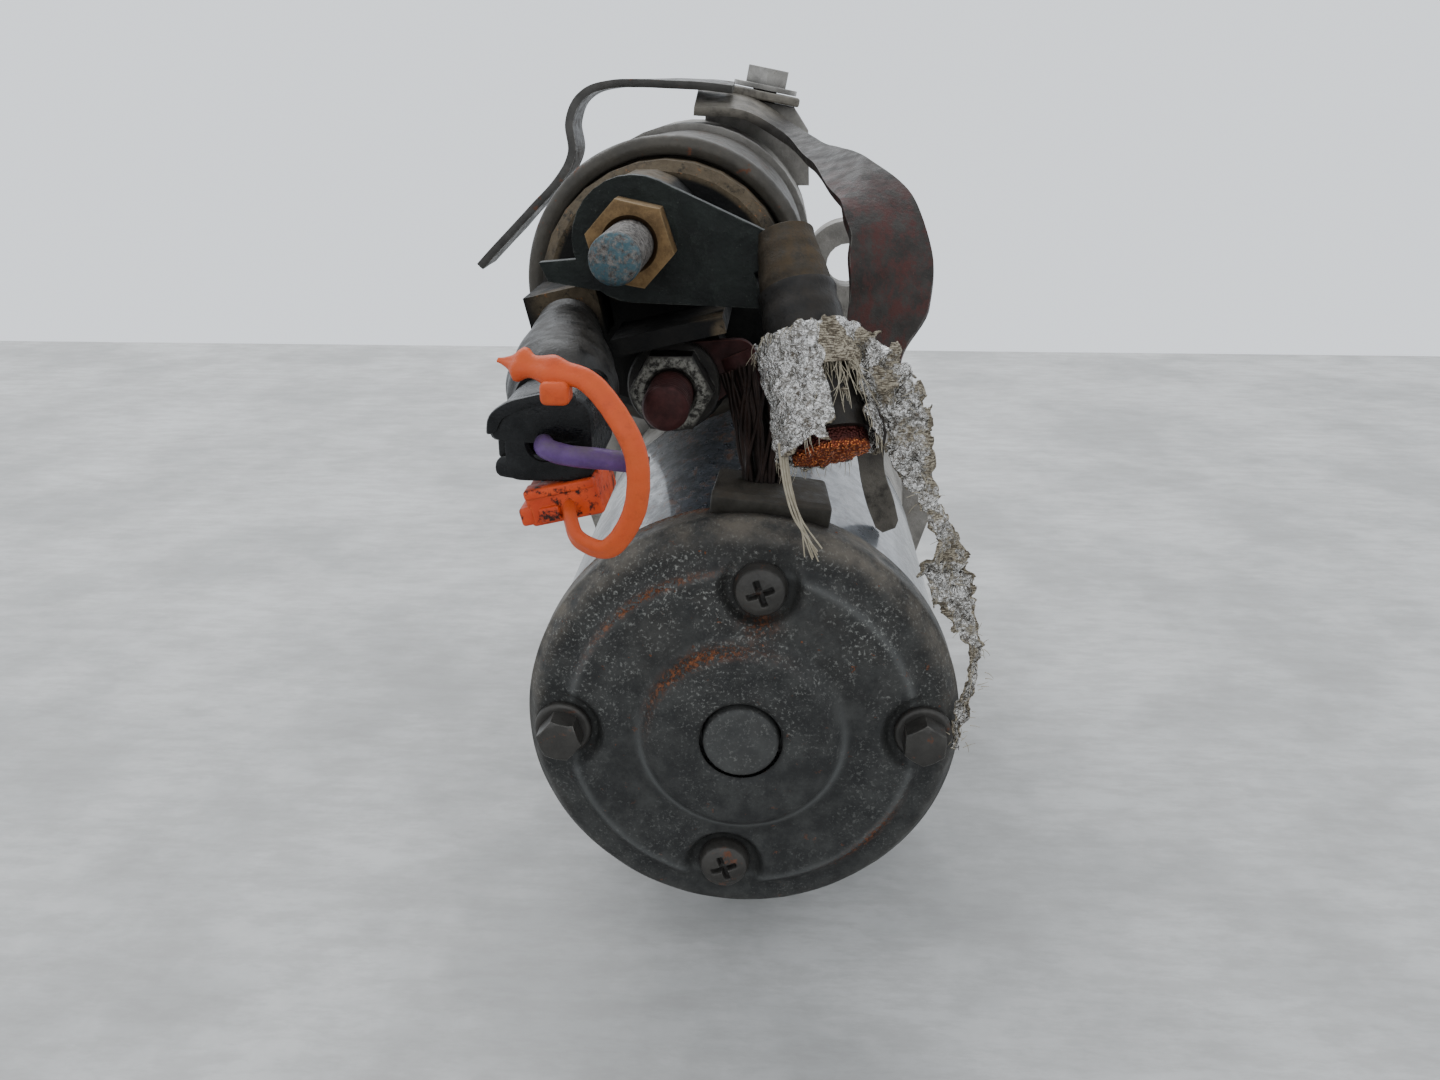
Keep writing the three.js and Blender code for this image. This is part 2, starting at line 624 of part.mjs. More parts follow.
function addSolenoid() {
  const axis = [0, 0, SOLENOID_HEIGHT];
  add(leaning, 'solenoid_case', solenoidCase(), darkSteel, axis);
  add(leaning, 'solenoid_cap', solenoidCap(), blackPlastic, axis);
  add(leaning, 'solenoid_coil', tube(10.6, 24.6, 63.5, 101.8, 24), copper, axis);
  const core = turned([[2.4, 58.4], [24.8, 58.4], [24.8, 63], [10, 63], [10, 70], [2.4, 70]], 24);
  add(leaning, 'fixed_core', core, gearSteel, axis);
  ['solenoid_screw_left', 'solenoid_screw_right'].forEach((name, i) => {
    const [x, z] = SOLENOID_SCREWS[i];
    add(leaning, name, join(disc(2, 103.6, 142, 10), hexagon(8, 141.3, 146)), brightSteel, [x, 0, z]);
  });
  add(leaning, 'battery_stud', stud(-7), brightSteel, [0, 0, BATTERY_STUD_HEIGHT]);
  add(leaning, 'motor_stud', stud(6), copper, [0, 0, MOTOR_STUD_HEIGHT]);
  const thread = disc(STUD_RADIUS + GAP, 11, 25, 16);
  const plainNut = hexagon(NUT_FLATS, 12, 18.2);
  const flangedNut = join(hexagon(NUT_FLATS, 17, 23), disc(8.3, 22.4, 24, 20));
  add(leaning, 'battery_nut', cut(plainNut, thread), brass, [0, 0, BATTERY_STUD_HEIGHT]);
  add(leaning, 'motor_nut', cut(flangedNut, thread), brightSteel, [0, 0, MOTOR_STUD_HEIGHT]);
  add(leaning, 'signal_blade', block([-19, -14], [10, 45.5], [1.7, 2.5]), brass, axis);
  add(leaning, 'plunger', plunger(), gearSteel, axis);
  add(leaning, 'return_spring', returnSpring(), brightSteel, axis);
  add(leaning, 'contact_plate', contactPlate(), copper, axis);
}

// ---- Leads, connector and brackets ----

// The stud centres in the motor frame.
const batteryStud = new THREE.Vector3(0, 0, BATTERY_STUD_HEIGHT).applyAxisAngle(ALONG_Y, LEAN);
const motorStud = new THREE.Vector3(0, 0, MOTOR_STUD_HEIGHT).applyAxisAngle(ALONG_Y, LEAN);

function cablePoint(distance) {
  return CABLE_START.clone().addScaledVector(CABLE_WAY, distance);
}

function cableBar(radius, from, to, sides = 20) {
  return bar(radius, cablePoint(from), cablePoint(to), sides);
}

function batteryLug() {
  const eye = [batteryStud.x, batteryStud.z];
  const face = plate(aroundTwo(eye, 10.5, [4.5, 77.8], 5.8), 18.5, 21, 8);
  const antiTurnTab = plate(polygon([[-35.5, 79.5], [-34, 76.3], [-24, 74.6], [-24, 80.6]]), 18.5, 20.7);
  const studHole = disc(STUD_RADIUS + 0.4, 17, 22, 16).translate(batteryStud.x, 0, batteryStud.z);
  const flat = cut(join(face, antiTurnTab), studHole, cableBar(6.4, 3.2, 13));
  return join(flat, cableBar(4.6, -2, 11.2, 16));
}

function lugSleeve() {
  return cut(cableBar(6.1, 3.5, 11), cableBar(4.9, 3, 12, 16));
}

function heatSleeve() {
  const wrap = cut(cableBar(9.6, 15, 36, 16), cableBar(7.4, 14, 37, 16));
  const frontTear = block([-5, 5], [-30, 0], [-12, 0.5]);
  const tear = cablePoint(36);
  return cut(wrap, frontTear.translate(tear.x + 1, tear.y + 1, tear.z + 13));
}

function sleeveTail() {
  const outline = polygon([
    [20.6, 70], [26.5, 66], [31.5, 53], [34, 43.5], [36, 36], [41, 28], [41.6, 18], [41, 8],
    [38.2, 1], [38, 8], [38.4, 18], [36, 24], [31, 26], [30.2, 34], [31, 43], [26, 53], [21.4, 60],
  ]);
  return plate(outline, 0.4, 2.2);
}

function brushLead() {
  const eye = [motorStud.x, motorStud.z];
  const terminal = plate(aroundTwo(eye, 7.4, [-2, 62], 3.6), 24.3, 26);
  const studHole = disc(STUD_RADIUS + 0.4, 20, 28, 16).translate(motorStud.x, 0, motorStud.z);
  const braid = swept([
    [-2.4, 25.2, 62.8], [-0.6, 24.6, 58.6], [0.9, 22.6, 54], [1.8, 19, 47.5], [2.2, 16.9, 41],
    [2.2, 16.6, 33.6],
  ], ovalSection(1.6, 3.4), 11);
  return cut(join(terminal, braid), studHole);
}

function signalBoot() {
  const boot = bar(5.8, new THREE.Vector3(-31.5, 22, 67.5), new THREE.Vector3(-27.5, -8, 63.7), 16, 8.8);
  return cut(boot, block([-36.2, -29.2], [5, 26], [66.8, 71.6]));
}

function signalConnector() {
  const shell = block([-34, -19.2], [-30, -10.4], [56.2, 68.2]);
  const latch = block([-29, -24], [-27, -12], [67.5, 70]);
  const wireHole = bar(2.3, new THREE.Vector3(-25.7, -31, 61.8), new THREE.Vector3(-25.7, -16, 61.8), 12);
  return cut(join(shell, latch), wireHole);
}

function connectorLock() {
  const lock = block([-29.6, -18.9], [-30, -17], [48.6, 55.9]);
  const tether = swept([
    [-23.3, -29, 52.6], [-22.6, -32.5, 51.8], [-21, -35, 49.8], [-16.8, -36.4, 49.3], [-13.2, -37, 54.9],
    [-12.7, -37, 61.9], [-15, -36.2, 67.2], [-19, -34, 71.4], [-23.3, -32.4, 72.4], [-32.1, -29, 73.2],
  ], ovalSection(1.3, 1.3, 6), 28);
  return join(lock, tether);
}

function signalWire() {
  return swept([
    [-25.7, -17, 61.8], [-25.7, -28, 61.8], [-25, -31.6, 61.8], [-21.5, -33.2, 61.4],
    [-17, -32.8, 60.8], [-13, -32, 60.2],
  ], ovalSection(1.6, 1.6), 14);
}

function bracketRight() {
  const band = strip([
    [[-15.5, 117, 104], [0, 8.7, 2.2]],
    [[-4, 117, 102.8], [0, 8.7, 1.8]],
    [[5.6, 113, 97.6], [0.2, 8.7, 1.4]],
    [[12.5, 84, 93.6], [1.1, 8, 1.7]],
    [[19.4, 59, 90], [3.3, 6.5, 3.2]],
    [[24.2, 48, 84.5], [6.5, 4, 2.2]],
    [[25.8, 41, 76.5], [8, 1, 0]],
    [[25.4, 37, 68.8], [7.4, -1, 0.2]],
    [[23, 33, 60.2], [4.9, -0.5, 0]],
    [[24.3, 28, 44.8], [3.4, 0, 0]],
    [[24.6, 24, 34], [2.6, 0, 0]],
  ], 2, 36);
  const foot = block([-9, 9], [GAP, GAP + 2], [-9, 12.4]);
  const boltHole = disc(BRACKET_BOLT_RADIUS + GAP, -1, 4, 12);
  return join(band, onPad(cut(foot, boltHole)));
}

function bracketLeft() {
  return strip([
    [[-6.6, 117, 107], [0, 5.6, 0.5]],
    [[-15.8, 116.4, 107.8], [0, 6.5, 0.3]],
    [[-34, 113, 107.8], [0, 7, 0]],
    [[-41, 110.6, 105.2], [0, 7, 0]],
    [[-43.5, 108, 99.5], [0, 7, 0]],
    [[-42.8, 106, 93], [0, 7, 0]],
    [[-46, 104, 87], [0, 7, 0]],
    [[-53, 102, 79.8], [0, 7, 0]],
    [[-64.4, 100, 68.2], [0, 7, 0]],
  ], 1.8, 32);
}

function addLeads() {
  add(motor, 'battery_lug', batteryLug(), brightSteel);
  add(motor, 'lug_sleeve', lugSleeve(), tanPlastic);
  const cable = join(cableBar(7, 11.5, 31, 16), cableBar(6, 30, 37.5, 16));
  add(motor, 'battery_cable', cable, blackRubber);
  add(motor, 'heat_sleeve', join(heatSleeve(), sleeveTail()), foil);
  add(motor, 'brush_lead', brushLead(), copper);
  add(motor, 'signal_boot', signalBoot(), blackRubber);
  add(motor, 'signal_connector', signalConnector(), blackPlastic);
  add(motor, 'connector_lock', connectorLock(), orangePlastic);
  add(motor, 'signal_wire', signalWire(), purplePlastic);
}

function addBrackets() {
  add(motor, 'bracket_right', bracketRight(), darkSteel);
  add(motor, 'bracket_left', bracketLeft(), darkSteel);
  const washer = disc(8, GAP * 2 + 2, 3.8, 16);
  const bolt = join(disc(BRACKET_BOLT_RADIUS, -12, 3, 12), washer, hexagon(10, 3.4, 7.8));
  add(motor, 'bracket_bolt', onPad(bolt), brightSteel);
}

addRearEnd();
addYokeAndArmature();
addPlanetaryGear();
addDriveEnd();
addSolenoid();
addLeads();
addBrackets();

export default motor;
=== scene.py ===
"""Looks for a used car starter motor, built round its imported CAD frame.

Shapes are given in millimetres in the motor's own frame: its origin is on the shaft axis at the rear
cover's raised platform, Y runs along the shaft to the pinion and Z points up. row() turns such a point
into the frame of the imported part, in metres.
"""

import json
import math
import random

import bmesh
import bpy
import numpy as np
from mathutils import Matrix, Vector, noise

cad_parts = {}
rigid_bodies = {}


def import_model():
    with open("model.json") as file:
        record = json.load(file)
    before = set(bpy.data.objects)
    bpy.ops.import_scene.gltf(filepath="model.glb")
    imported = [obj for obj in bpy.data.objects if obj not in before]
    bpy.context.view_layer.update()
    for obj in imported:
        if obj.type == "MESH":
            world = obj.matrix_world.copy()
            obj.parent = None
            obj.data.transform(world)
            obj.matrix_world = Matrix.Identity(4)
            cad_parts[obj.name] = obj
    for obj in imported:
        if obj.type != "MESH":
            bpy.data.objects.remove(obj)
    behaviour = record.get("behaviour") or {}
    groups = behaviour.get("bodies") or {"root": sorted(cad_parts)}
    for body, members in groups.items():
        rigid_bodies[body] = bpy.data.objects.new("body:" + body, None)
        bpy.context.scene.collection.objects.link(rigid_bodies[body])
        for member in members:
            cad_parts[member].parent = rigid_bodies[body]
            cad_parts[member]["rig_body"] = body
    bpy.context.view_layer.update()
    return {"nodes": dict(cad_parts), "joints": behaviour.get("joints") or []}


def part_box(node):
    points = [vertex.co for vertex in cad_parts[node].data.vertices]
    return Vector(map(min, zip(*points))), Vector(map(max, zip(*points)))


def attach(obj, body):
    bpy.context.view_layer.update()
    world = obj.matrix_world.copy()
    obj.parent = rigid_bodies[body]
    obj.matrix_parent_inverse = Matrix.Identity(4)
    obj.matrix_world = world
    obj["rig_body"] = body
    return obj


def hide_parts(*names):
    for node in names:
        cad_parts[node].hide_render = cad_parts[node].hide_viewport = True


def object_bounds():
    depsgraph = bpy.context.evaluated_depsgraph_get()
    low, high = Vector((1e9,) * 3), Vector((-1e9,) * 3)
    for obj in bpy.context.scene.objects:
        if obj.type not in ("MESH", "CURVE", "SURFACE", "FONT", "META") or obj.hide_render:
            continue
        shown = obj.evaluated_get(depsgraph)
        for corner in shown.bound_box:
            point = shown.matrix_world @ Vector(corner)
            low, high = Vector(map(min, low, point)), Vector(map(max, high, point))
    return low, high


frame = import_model()

TURN = 2 * math.pi
CASE = "motor_case"
SHAFT_HEIGHT = frame["joints"][0]["pos_m"][2] * 1000
BOSS_RISE = 2.9
COVER_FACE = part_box("rear_cover")[0].y * 1000 + BOSS_RISE
LEAN = math.radians(-12.97)
SOLENOID_HEIGHT = 72.75
BATTERY_STUD = (0, 0, 85.55)
MOTOR_STUD = (0, 0, 58.95)
CABLE_START = Vector((6.4, 20, 82.5))
CABLE_WAY = Vector((0.21, -0.53, -0.82)).normalized()


def row(point):
    """A point of the motor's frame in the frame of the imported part."""
    x, y, z = point
    return Vector((x, y + COVER_FACE, z + SHAFT_HEIGHT)) / 1000


def leaned(point):
    """A point of the solenoid's frame, which leans about the shaft, in the motor's frame."""
    x, y, z = point
    c, s = math.cos(LEAN), math.sin(LEAN)
    return Vector((x * c + z * s, y, z * c - x * s))


def cable_point(distance):
    """The middle of the battery cable, at a distance from its lug."""
    return CABLE_START + CABLE_WAY * distance


# ---- Materials ----


class Look:
    """A procedural material. Its methods add nodes and return their outputs. Sizes are in millimetres."""

    def __init__(self, name, metallic=0.0, specular=0.5, coat=0.0, coat_roughness=0.1):
        self.material = bpy.data.materials.new(name)
        self.material.use_nodes = True
        self.tree = self.material.node_tree
        self.shader = self.tree.nodes["Principled BSDF"]
        self.shader.inputs["Metallic"].default_value = metallic
        self.shader.inputs["Specular IOR Level"].default_value = specular
        self.shader.inputs["Coat Weight"].default_value = coat
        self.shader.inputs["Coat Roughness"].default_value = coat_roughness
        self.place = self.add("ShaderNodeTexCoord").outputs["Object"]
        self.normal = None

    def add(self, kind, **settings):
        node = self.tree.nodes.new(kind)
        for key, value in settings.items():
            setattr(node, key, value)
        return node

    def feed(self, socket, value):
        if isinstance(value, bpy.types.NodeSocket):
            self.tree.links.new(value, socket)
        else:
            socket.default_value = value

    def stretched(self, stretch):
        if stretch == (1, 1, 1):
            return self.place
        scale = self.add("ShaderNodeVectorMath", operation="MULTIPLY")
        self.feed(scale.inputs[0], self.place)
        scale.inputs[1].default_value = stretch
        return scale.outputs[0]

    def noise(self, size, detail=5.0, rough=0.6, stretch=(1, 1, 1), twist=0.0):
        node = self.add("ShaderNodeTexNoise")
        self.feed(node.inputs["Vector"], self.stretched(stretch))
        node.inputs["Scale"].default_value = 1000 / size
        node.inputs["Detail"].default_value = detail
        node.inputs["Roughness"].default_value = rough
        node.inputs["Distortion"].default_value = twist
        return node.outputs["Fac"]

    def cells(self, size, feature="F1", stretch=(1, 1, 1)):
        node = self.add("ShaderNodeTexVoronoi", feature=feature)
        self.feed(node.inputs["Vector"], self.stretched(stretch))
        node.inputs["Scale"].default_value = 1000 / size
        return node.outputs["Distance"]

    def step(self, value, low, high, start=0.0, end=1.0):
        """Goes smoothly from start at low to end at high."""
        node = self.add("ShaderNodeMapRange", interpolation_type="SMOOTHSTEP")
        self.feed(node.inputs["Value"], value)
        for socket, number in zip(("From Min", "From Max", "To Min", "To Max"), (low, high, start, end)):
            node.inputs[socket].default_value = number
        return node.outputs["Result"]

    def clouds(self, low, high, *shape, **more):
        """Patches of noise: 0 where it is below low, 1 where it is above high."""
        return self.step(self.noise(*shape, **more), low, high)

    def varied(self, start, end, *shape):
        """A value that wanders between start and end."""
        return self.step(self.noise(*shape), 0.3, 0.7, start, end)

    def calc(self, operation, a, b=0.0):
        node = self.add("ShaderNodeMath", operation=operation)
        self.feed(node.inputs[0], a)
        self.feed(node.inputs[1], b)
        return node.outputs[0]

    def times(self, *values):
        result = values[0]
        for value in values[1:]:
            result = self.calc("MULTIPLY", result, value)
        return result

    def mix(self, share, a, b):
        node = self.add("ShaderNodeMix", data_type="RGBA")
        self.feed(node.inputs[0], share)
        for socket, value in ((node.inputs[6], a), (node.inputs[7], b)):
            self.feed(socket, value if isinstance(value, bpy.types.NodeSocket) else (*value, 1))
        return node.outputs[2]

    def over(self, tone, color, *shares):
        """The colour laid over the tone, as thick as the product of the shares."""
        return self.mix(self.times(*shares), tone, color)

    def edges(self, radius=0.5, low=0.02, high=0.25):
        """1 on edges and corners within about the radius, 0 on flat surface."""
        bevel = self.add("ShaderNodeBevel", samples=4)
        bevel.inputs["Radius"].default_value = radius / 1000
        flat = self.add("ShaderNodeNewGeometry").outputs["Normal"]
        dot = self.add("ShaderNodeVectorMath", operation="DOT_PRODUCT")
        self.feed(dot.inputs[0], bevel.outputs[0])
        self.feed(dot.inputs[1], flat)
        return self.step(self.calc("SUBTRACT", 1.0, dot.outputs["Value"]), low, high)

    def hollows(self, reach=4.0, low=0.35, high=0.9):
        """1 in grooves and corners, 0 in the open."""
        # The looks darken colour by this mask, which paints shade into grooves and corners.
        node = self.add("ShaderNodeAmbientOcclusion", samples=4)
        node.inputs["Distance"].default_value = reach / 1000
        return self.step(node.outputs["AO"], high, low)

    def facing_up(self, low=0.3, high=0.95):
        geometry = self.add("ShaderNodeNewGeometry")
        split = self.add("ShaderNodeSeparateXYZ")
        self.feed(split.inputs[0], geometry.outputs["Normal"])
        return self.step(split.outputs["Z"], low, high)

    def paint(self, name):
        """A mask that the mesh carries."""
        return self.add("ShaderNodeAttribute", attribute_name=name).outputs["Fac"]

    def near(self, point, low, high, along=(1, 1, 1)):
        """1 within the low distance of a point of the motor's frame, 0 beyond the high one."""
        apart = self.add("ShaderNodeVectorMath", operation="DISTANCE")
        self.feed(apart.inputs[0], self.stretched(along))
        apart.inputs[1].default_value = [a * b for a, b in zip(row(point), along)]
        return self.step(apart.outputs["Value"], low / 1000, high / 1000, 1.0, 0.0)

    def bump(self, height, depth):
        node = self.add("ShaderNodeBump")
        node.inputs["Distance"].default_value = depth / 1000
        self.feed(node.inputs["Height"], height)
        if self.normal:
            self.feed(node.inputs["Normal"], self.normal)
        self.normal = node.outputs[0]

    def finish(self, color, roughness, metallic=None):
        self.feed(self.shader.inputs["Base Color"], color)
        self.feed(self.shader.inputs["Roughness"], roughness)
        if metallic is not None:
            self.feed(self.shader.inputs["Metallic"], metallic)
        if self.normal:
            self.feed(self.shader.inputs["Normal"], self.normal)
        return self.material


RUST = (0.13, 0.048, 0.02)
RUST_DARK = (0.05, 0.018, 0.01)
DUST = (0.2, 0.175, 0.14)
# Near-black laid into hollows by the looks below: dirt and painted shade.
GRIME_AND_SHADE = (0.012, 0.011, 0.009)


def cover_paint():
    """Dark paint gone dull, with pale zinc corrosion in fine specks, brown dust on top, rust, and a painted
    highlight along the boss and platform edges.
    """
    look = Look("cover_paint", specular=0.16)
    patches = look.noise(12, 5, 0.65)
    fine = look.noise(0.62, 3, 0.75)
    specks = look.step(fine, 0.54, 0.66)
    where = look.times(look.step(patches, 0.36, 0.62), look.paint("speckle"))
    tone = look.mix(look.clouds(0.35, 0.7, 5, 6, 0.7), (0.022, 0.0225, 0.0225), (0.046, 0.047, 0.045))
    # Paler paint where the mesh's highlight mask is high: a painted highlight along the lower boss edge and
    # the platform edges.
    tone = look.mix(look.paint("painted_shine"), tone, (0.1, 0.104, 0.102))
    tone = look.over(tone, (0.22, 0.225, 0.21), specks, where)
    dust = look.times(look.clouds(0.3, 0.7, 6, 6, 0.7), look.paint("dust"))
    tone = look.mix(dust, tone, (0.12, 0.105, 0.085))
    flakes = look.clouds(0.47, 0.53, 0.95, 5, 0.85)
    rust = look.times(flakes, look.paint("rust"))
    spots = look.times(look.clouds(0.66, 0.69, 2.6, 4, 0.8), look.paint("rust_spots"))
    rust = look.calc("MAXIMUM", rust, spots)
    shade = look.mix(look.clouds(0.3, 0.7, 0.9, 4, 0.8), RUST_DARK, (0.24, 0.09, 0.04))
    tone = look.mix(rust, tone, shade)
    # Near-black in the hollows: dirt and painted shade.
    grime_and_shade = look.times(look.hollows(3.5), 0.9)
    tone = look.mix(grime_and_shade, tone, (0.006, 0.006, 0.005))
    look.bump(fine, 0.08)
    look.bump(look.noise(3, 5, 0.6), 0.22)
    look.bump(look.times(rust, look.noise(0.7, 3)), 0.2)
    dullness = look.varied(0.44, 0.62, 4, 5, 0.7)
    dullness = look.calc("ADD", dullness, look.times(rust, 0.3))
    return look.finish(tone, dullness)


def yoke_paint():
    """Dark blue-grey gloss paint, with brown rust smears along its top, dirt in streaks on top darkened as
    painted shade under the solenoid, and paler sides that are a clear label and a painted sheen.
    """
    look = Look("yoke_paint", specular=0.5, coat=0.55, coat_roughness=0.1)
    cloud = look.noise(9, 5, 0.6)
    tone = look.mix(look.step(cloud, 0.3, 0.7), (0.045, 0.052, 0.062), (0.085, 0.096, 0.112))
    # Paler paint on the sides: a clear label that is also a painted sheen standing in for reflections.
    tone = look.over(tone, (0.09, 0.102, 0.115), look.paint("film_and_painted_sheen"), 0.8)
    # Darker on top, under the solenoid: dirt streaks and painted shade.
    grime_and_shade = look.times(look.paint("grime_and_shade"), look.clouds(0.42, 0.62, 5, 6, 0.75, (1, 0.6, 1)))
    tone = look.over(tone, (0.02, 0.0195, 0.019), grime_and_shade, 0.8)
    smear = look.clouds(0.55, 0.61, 3.2, 5, 0.75, (1.7, 0.8, 1))
    rust = look.times(smear, look.paint("rust"))
    tone = look.mix(rust, tone, look.mix(look.noise(1.5), RUST_DARK, (0.2, 0.09, 0.04)))
    look.bump(look.noise(6, 5), 0.1)
    look.bump(rust, 0.12)
    rough_part = look.times(look.calc("MAXIMUM", grime_and_shade, rust), 0.45)
    return look.finish(tone, look.calc("ADD", rough_part, look.varied(0.22, 0.36, 3, 5)))


def steel(name, base, rust=0.3, dirt=0.6, roughness=0.4, metallic=0.85, wear=None, grain=2.2):
    """Steel with dirt and painted shade in its hollows, worn bright edges and rust spots."""
    look = Look(name, metallic=metallic)
    dark = tuple(0.55 * c for c in base)
    tone = look.mix(look.clouds(0.3, 0.7, grain * 3, 6, 0.7), dark, base)
    spots = look.clouds(0.66 - 0.2 * rust, 0.74 - 0.2 * rust, grain * 1.6, 5, 0.75)
    # The hollows are darkened towards near-black as dirt and painted shade; dirt sets how far.
    grime_and_shade = look.times(look.hollows(2.5, 0.3, 0.95), dirt)
    if wear:
        worn = look.times(look.edges(0.35), look.clouds(0.4, 0.6, 2, 4))
        tone = look.mix(worn, tone, wear)
    tone = look.mix(spots, tone, look.mix(look.noise(0.8, 4), RUST_DARK, RUST))
    tone = look.mix(grime_and_shade, tone, GRIME_AND_SHADE)
    look.bump(look.noise(0.5, 4, 0.7), 0.05)
    look.bump(look.noise(grain, 5, 0.65), 0.12)
    dullness = look.varied(roughness - 0.08, roughness + 0.12, grain, 5)
    dullness = look.calc("ADD", dullness, look.times(look.calc("MAXIMUM", spots, grime_and_shade), 0.3))
    covered = look.calc("SUBTRACT", metallic, look.times(look.calc("MAXIMUM", spots, grime_and_shade), metallic))
    return look.finish(tone, dullness, covered)


def cast_aluminium():
    """A sand casting: grainy, dull, darkened in its corners with dirt and painted shade."""
    look = Look("cast_aluminium", metallic=0.45)
    tone = look.mix(look.clouds(0.3, 0.7, 8, 6, 0.7), (0.17, 0.16, 0.145), (0.3, 0.285, 0.26))
    stains = look.times(look.clouds(0.55, 0.7, 11, 6, 0.8), 0.6)
    tone = look.mix(stains, tone, (0.13, 0.105, 0.08))
    tone = look.over(tone, (0.55, 0.54, 0.52), look.edges(0.6), 0.5)
    # Dark in the hollows: dirt and painted shade.
    tone = look.over(tone, (0.05, 0.045, 0.038), look.hollows(5, 0.3, 0.9), 0.75)
    look.bump(look.noise(0.6, 5, 0.8), 0.16)
    look.bump(look.noise(6, 3), 0.4)
    return look.finish(tone, look.varied(0.5, 0.7, 3, 5))


def dusty(name, base, dust=0.5, roughness=0.5, dust_color=DUST, pores=0.08, specular=0.22):
    """Rubber or moulded plastic under dust, which lies on what faces up; its corners are darkened with dirt
    and painted shade.
    """
    look = Look(name, specular=specular)
    pale = tuple(min(1, 1.6 * c + 0.01) for c in base)
    tone = look.mix(look.clouds(0.35, 0.75, 5, 6, 0.7), base, pale)
    top = look.times(look.facing_up(-0.1, 1.0), look.clouds(0.3, 0.65, 3, 6, 0.75), dust)
    specks = look.times(look.clouds(0.6, 0.68, 0.7, 3, 0.7), 0.5 * dust)
    layer = look.calc("MAXIMUM", top, specks)
    tone = look.mix(layer, tone, dust_color)
    # Near-black in the hollows: dirt and painted shade.
    tone = look.over(tone, GRIME_AND_SHADE, look.hollows(3, 0.2, 0.8), 0.7)
    look.bump(look.noise(0.45, 3, 0.6), pores)
    look.bump(look.noise(2.5, 5, 0.6), 0.12)
    dullness = look.calc("ADD", look.varied(roughness - 0.08, roughness + 0.1, 3, 5), look.times(layer, 0.3))
    return look.finish(tone, dullness)


def orange_plastic():
    """Orange-red plastic, a little paler along its edges and where it was flexed, with black grease on it."""
    look = Look("orange_plastic", specular=0.22)
    tone = look.mix(look.clouds(0.3, 0.7, 6, 5), (0.46, 0.045, 0.012), (0.6, 0.08, 0.02))
    tone = look.over(tone, (0.5, 0.085, 0.02), look.paint("faded"), look.varied(0.55, 1.0, 4, 4))
    tone = look.over(tone, (0.68, 0.17, 0.06), look.edges(0.5), 0.35)
    grease = look.times(look.clouds(0.52, 0.62, 2.2, 6, 0.8), look.paint("grease"))
    tone = look.mix(grease, tone, (0.018, 0.01, 0.008))
    look.bump(look.noise(0.8, 4), 0.1)
    return look.finish(tone, look.varied(0.34, 0.52, 2, 4))


def heat_foil():
    """Metallised foil over a woven fibre cloth: crinkled, bright in parts as a painted highlight, with
    painted shade in its creases, dirty and frayed in others.
    """
    look = Look("heat_foil")
    crease = look.cells(0.8, "DISTANCE_TO_EDGE")
    folds_and_painted_sheen = look.noise(0.85, 4, 0.65, twist=0.8)
    torn = look.step(look.calc("ADD", look.paint("torn"), look.noise(2.2, 5, 0.8)), 0.98, 1.1)
    # The foil's pale and dark patches are painted highlights and painted reflections of the crinkles.
    foil = look.mix(look.step(folds_and_painted_sheen, 0.38, 0.6), (0.26, 0.245, 0.22), (0.78, 0.77, 0.75))
    # Darker lines in the creases: painted shade.
    line = look.times(look.step(crease, 0.0, 0.09, 1.0, 0.0), look.clouds(0.4, 0.6, 3, 4))
    foil = look.over(foil, (0.13, 0.115, 0.095), line, 0.7)
    dirt = look.clouds(0.56, 0.63, 1.5, 6, 0.8, twist=0.5)
    foil = look.over(foil, (0.085, 0.06, 0.035), dirt, 0.85)
    weave = look.noise(0.5, 3, 0.6, (0.35, 1, 2.6))
    cloth = look.mix(look.step(weave, 0.4, 0.62), (0.09, 0.07, 0.045), (0.42, 0.37, 0.28))
    tone = look.mix(torn, foil, cloth)
    look.bump(look.step(crease, 0.0, 0.22), 0.22)
    look.bump(folds_and_painted_sheen, 0.55)
    look.bump(look.noise(0.4, 4, 0.7), 0.12)
    open_foil = look.times(look.calc("SUBTRACT", 1.0, torn), look.calc("SUBTRACT", 1.0, dirt))
    dullness = look.step(open_foil, 0.0, 1.0, 0.85, 0.2)
    return look.finish(tone, dullness, look.times(open_foil, 0.97))


def fibre():
    """Loose beige glass fibre."""
    look = Look("fibre", specular=0.3)
    tone = look.mix(look.noise(2, 4), (0.16, 0.13, 0.085), (0.5, 0.46, 0.36))
    look.bump(look.noise(0.3, 3), 0.05)
    return look.finish(tone, 0.8)


def bare_copper():
    """The cut ends of fine copper strands, bright on the cut, maroon behind it."""
    look = Look("bare_copper", metallic=0.75)
    strands = look.cells(0.42)
    tone = look.mix(look.step(strands, 0.12, 0.5), (0.95, 0.33, 0.1), (0.2, 0.04, 0.015))
    tone = look.over(tone, (0.07, 0.016, 0.01), look.clouds(0.56, 0.66, 1.8, 5, 0.8), 0.8)
    maroon = look.mix(look.noise(0.7, 3), (0.02, 0.006, 0.006), (0.1, 0.022, 0.016))
    tone = look.mix(look.paint("old"), tone, maroon)
    look.bump(look.calc("SUBTRACT", 1.0, strands), 0.3)
    return look.finish(tone, look.varied(0.3, 0.5, 1.2, 4))


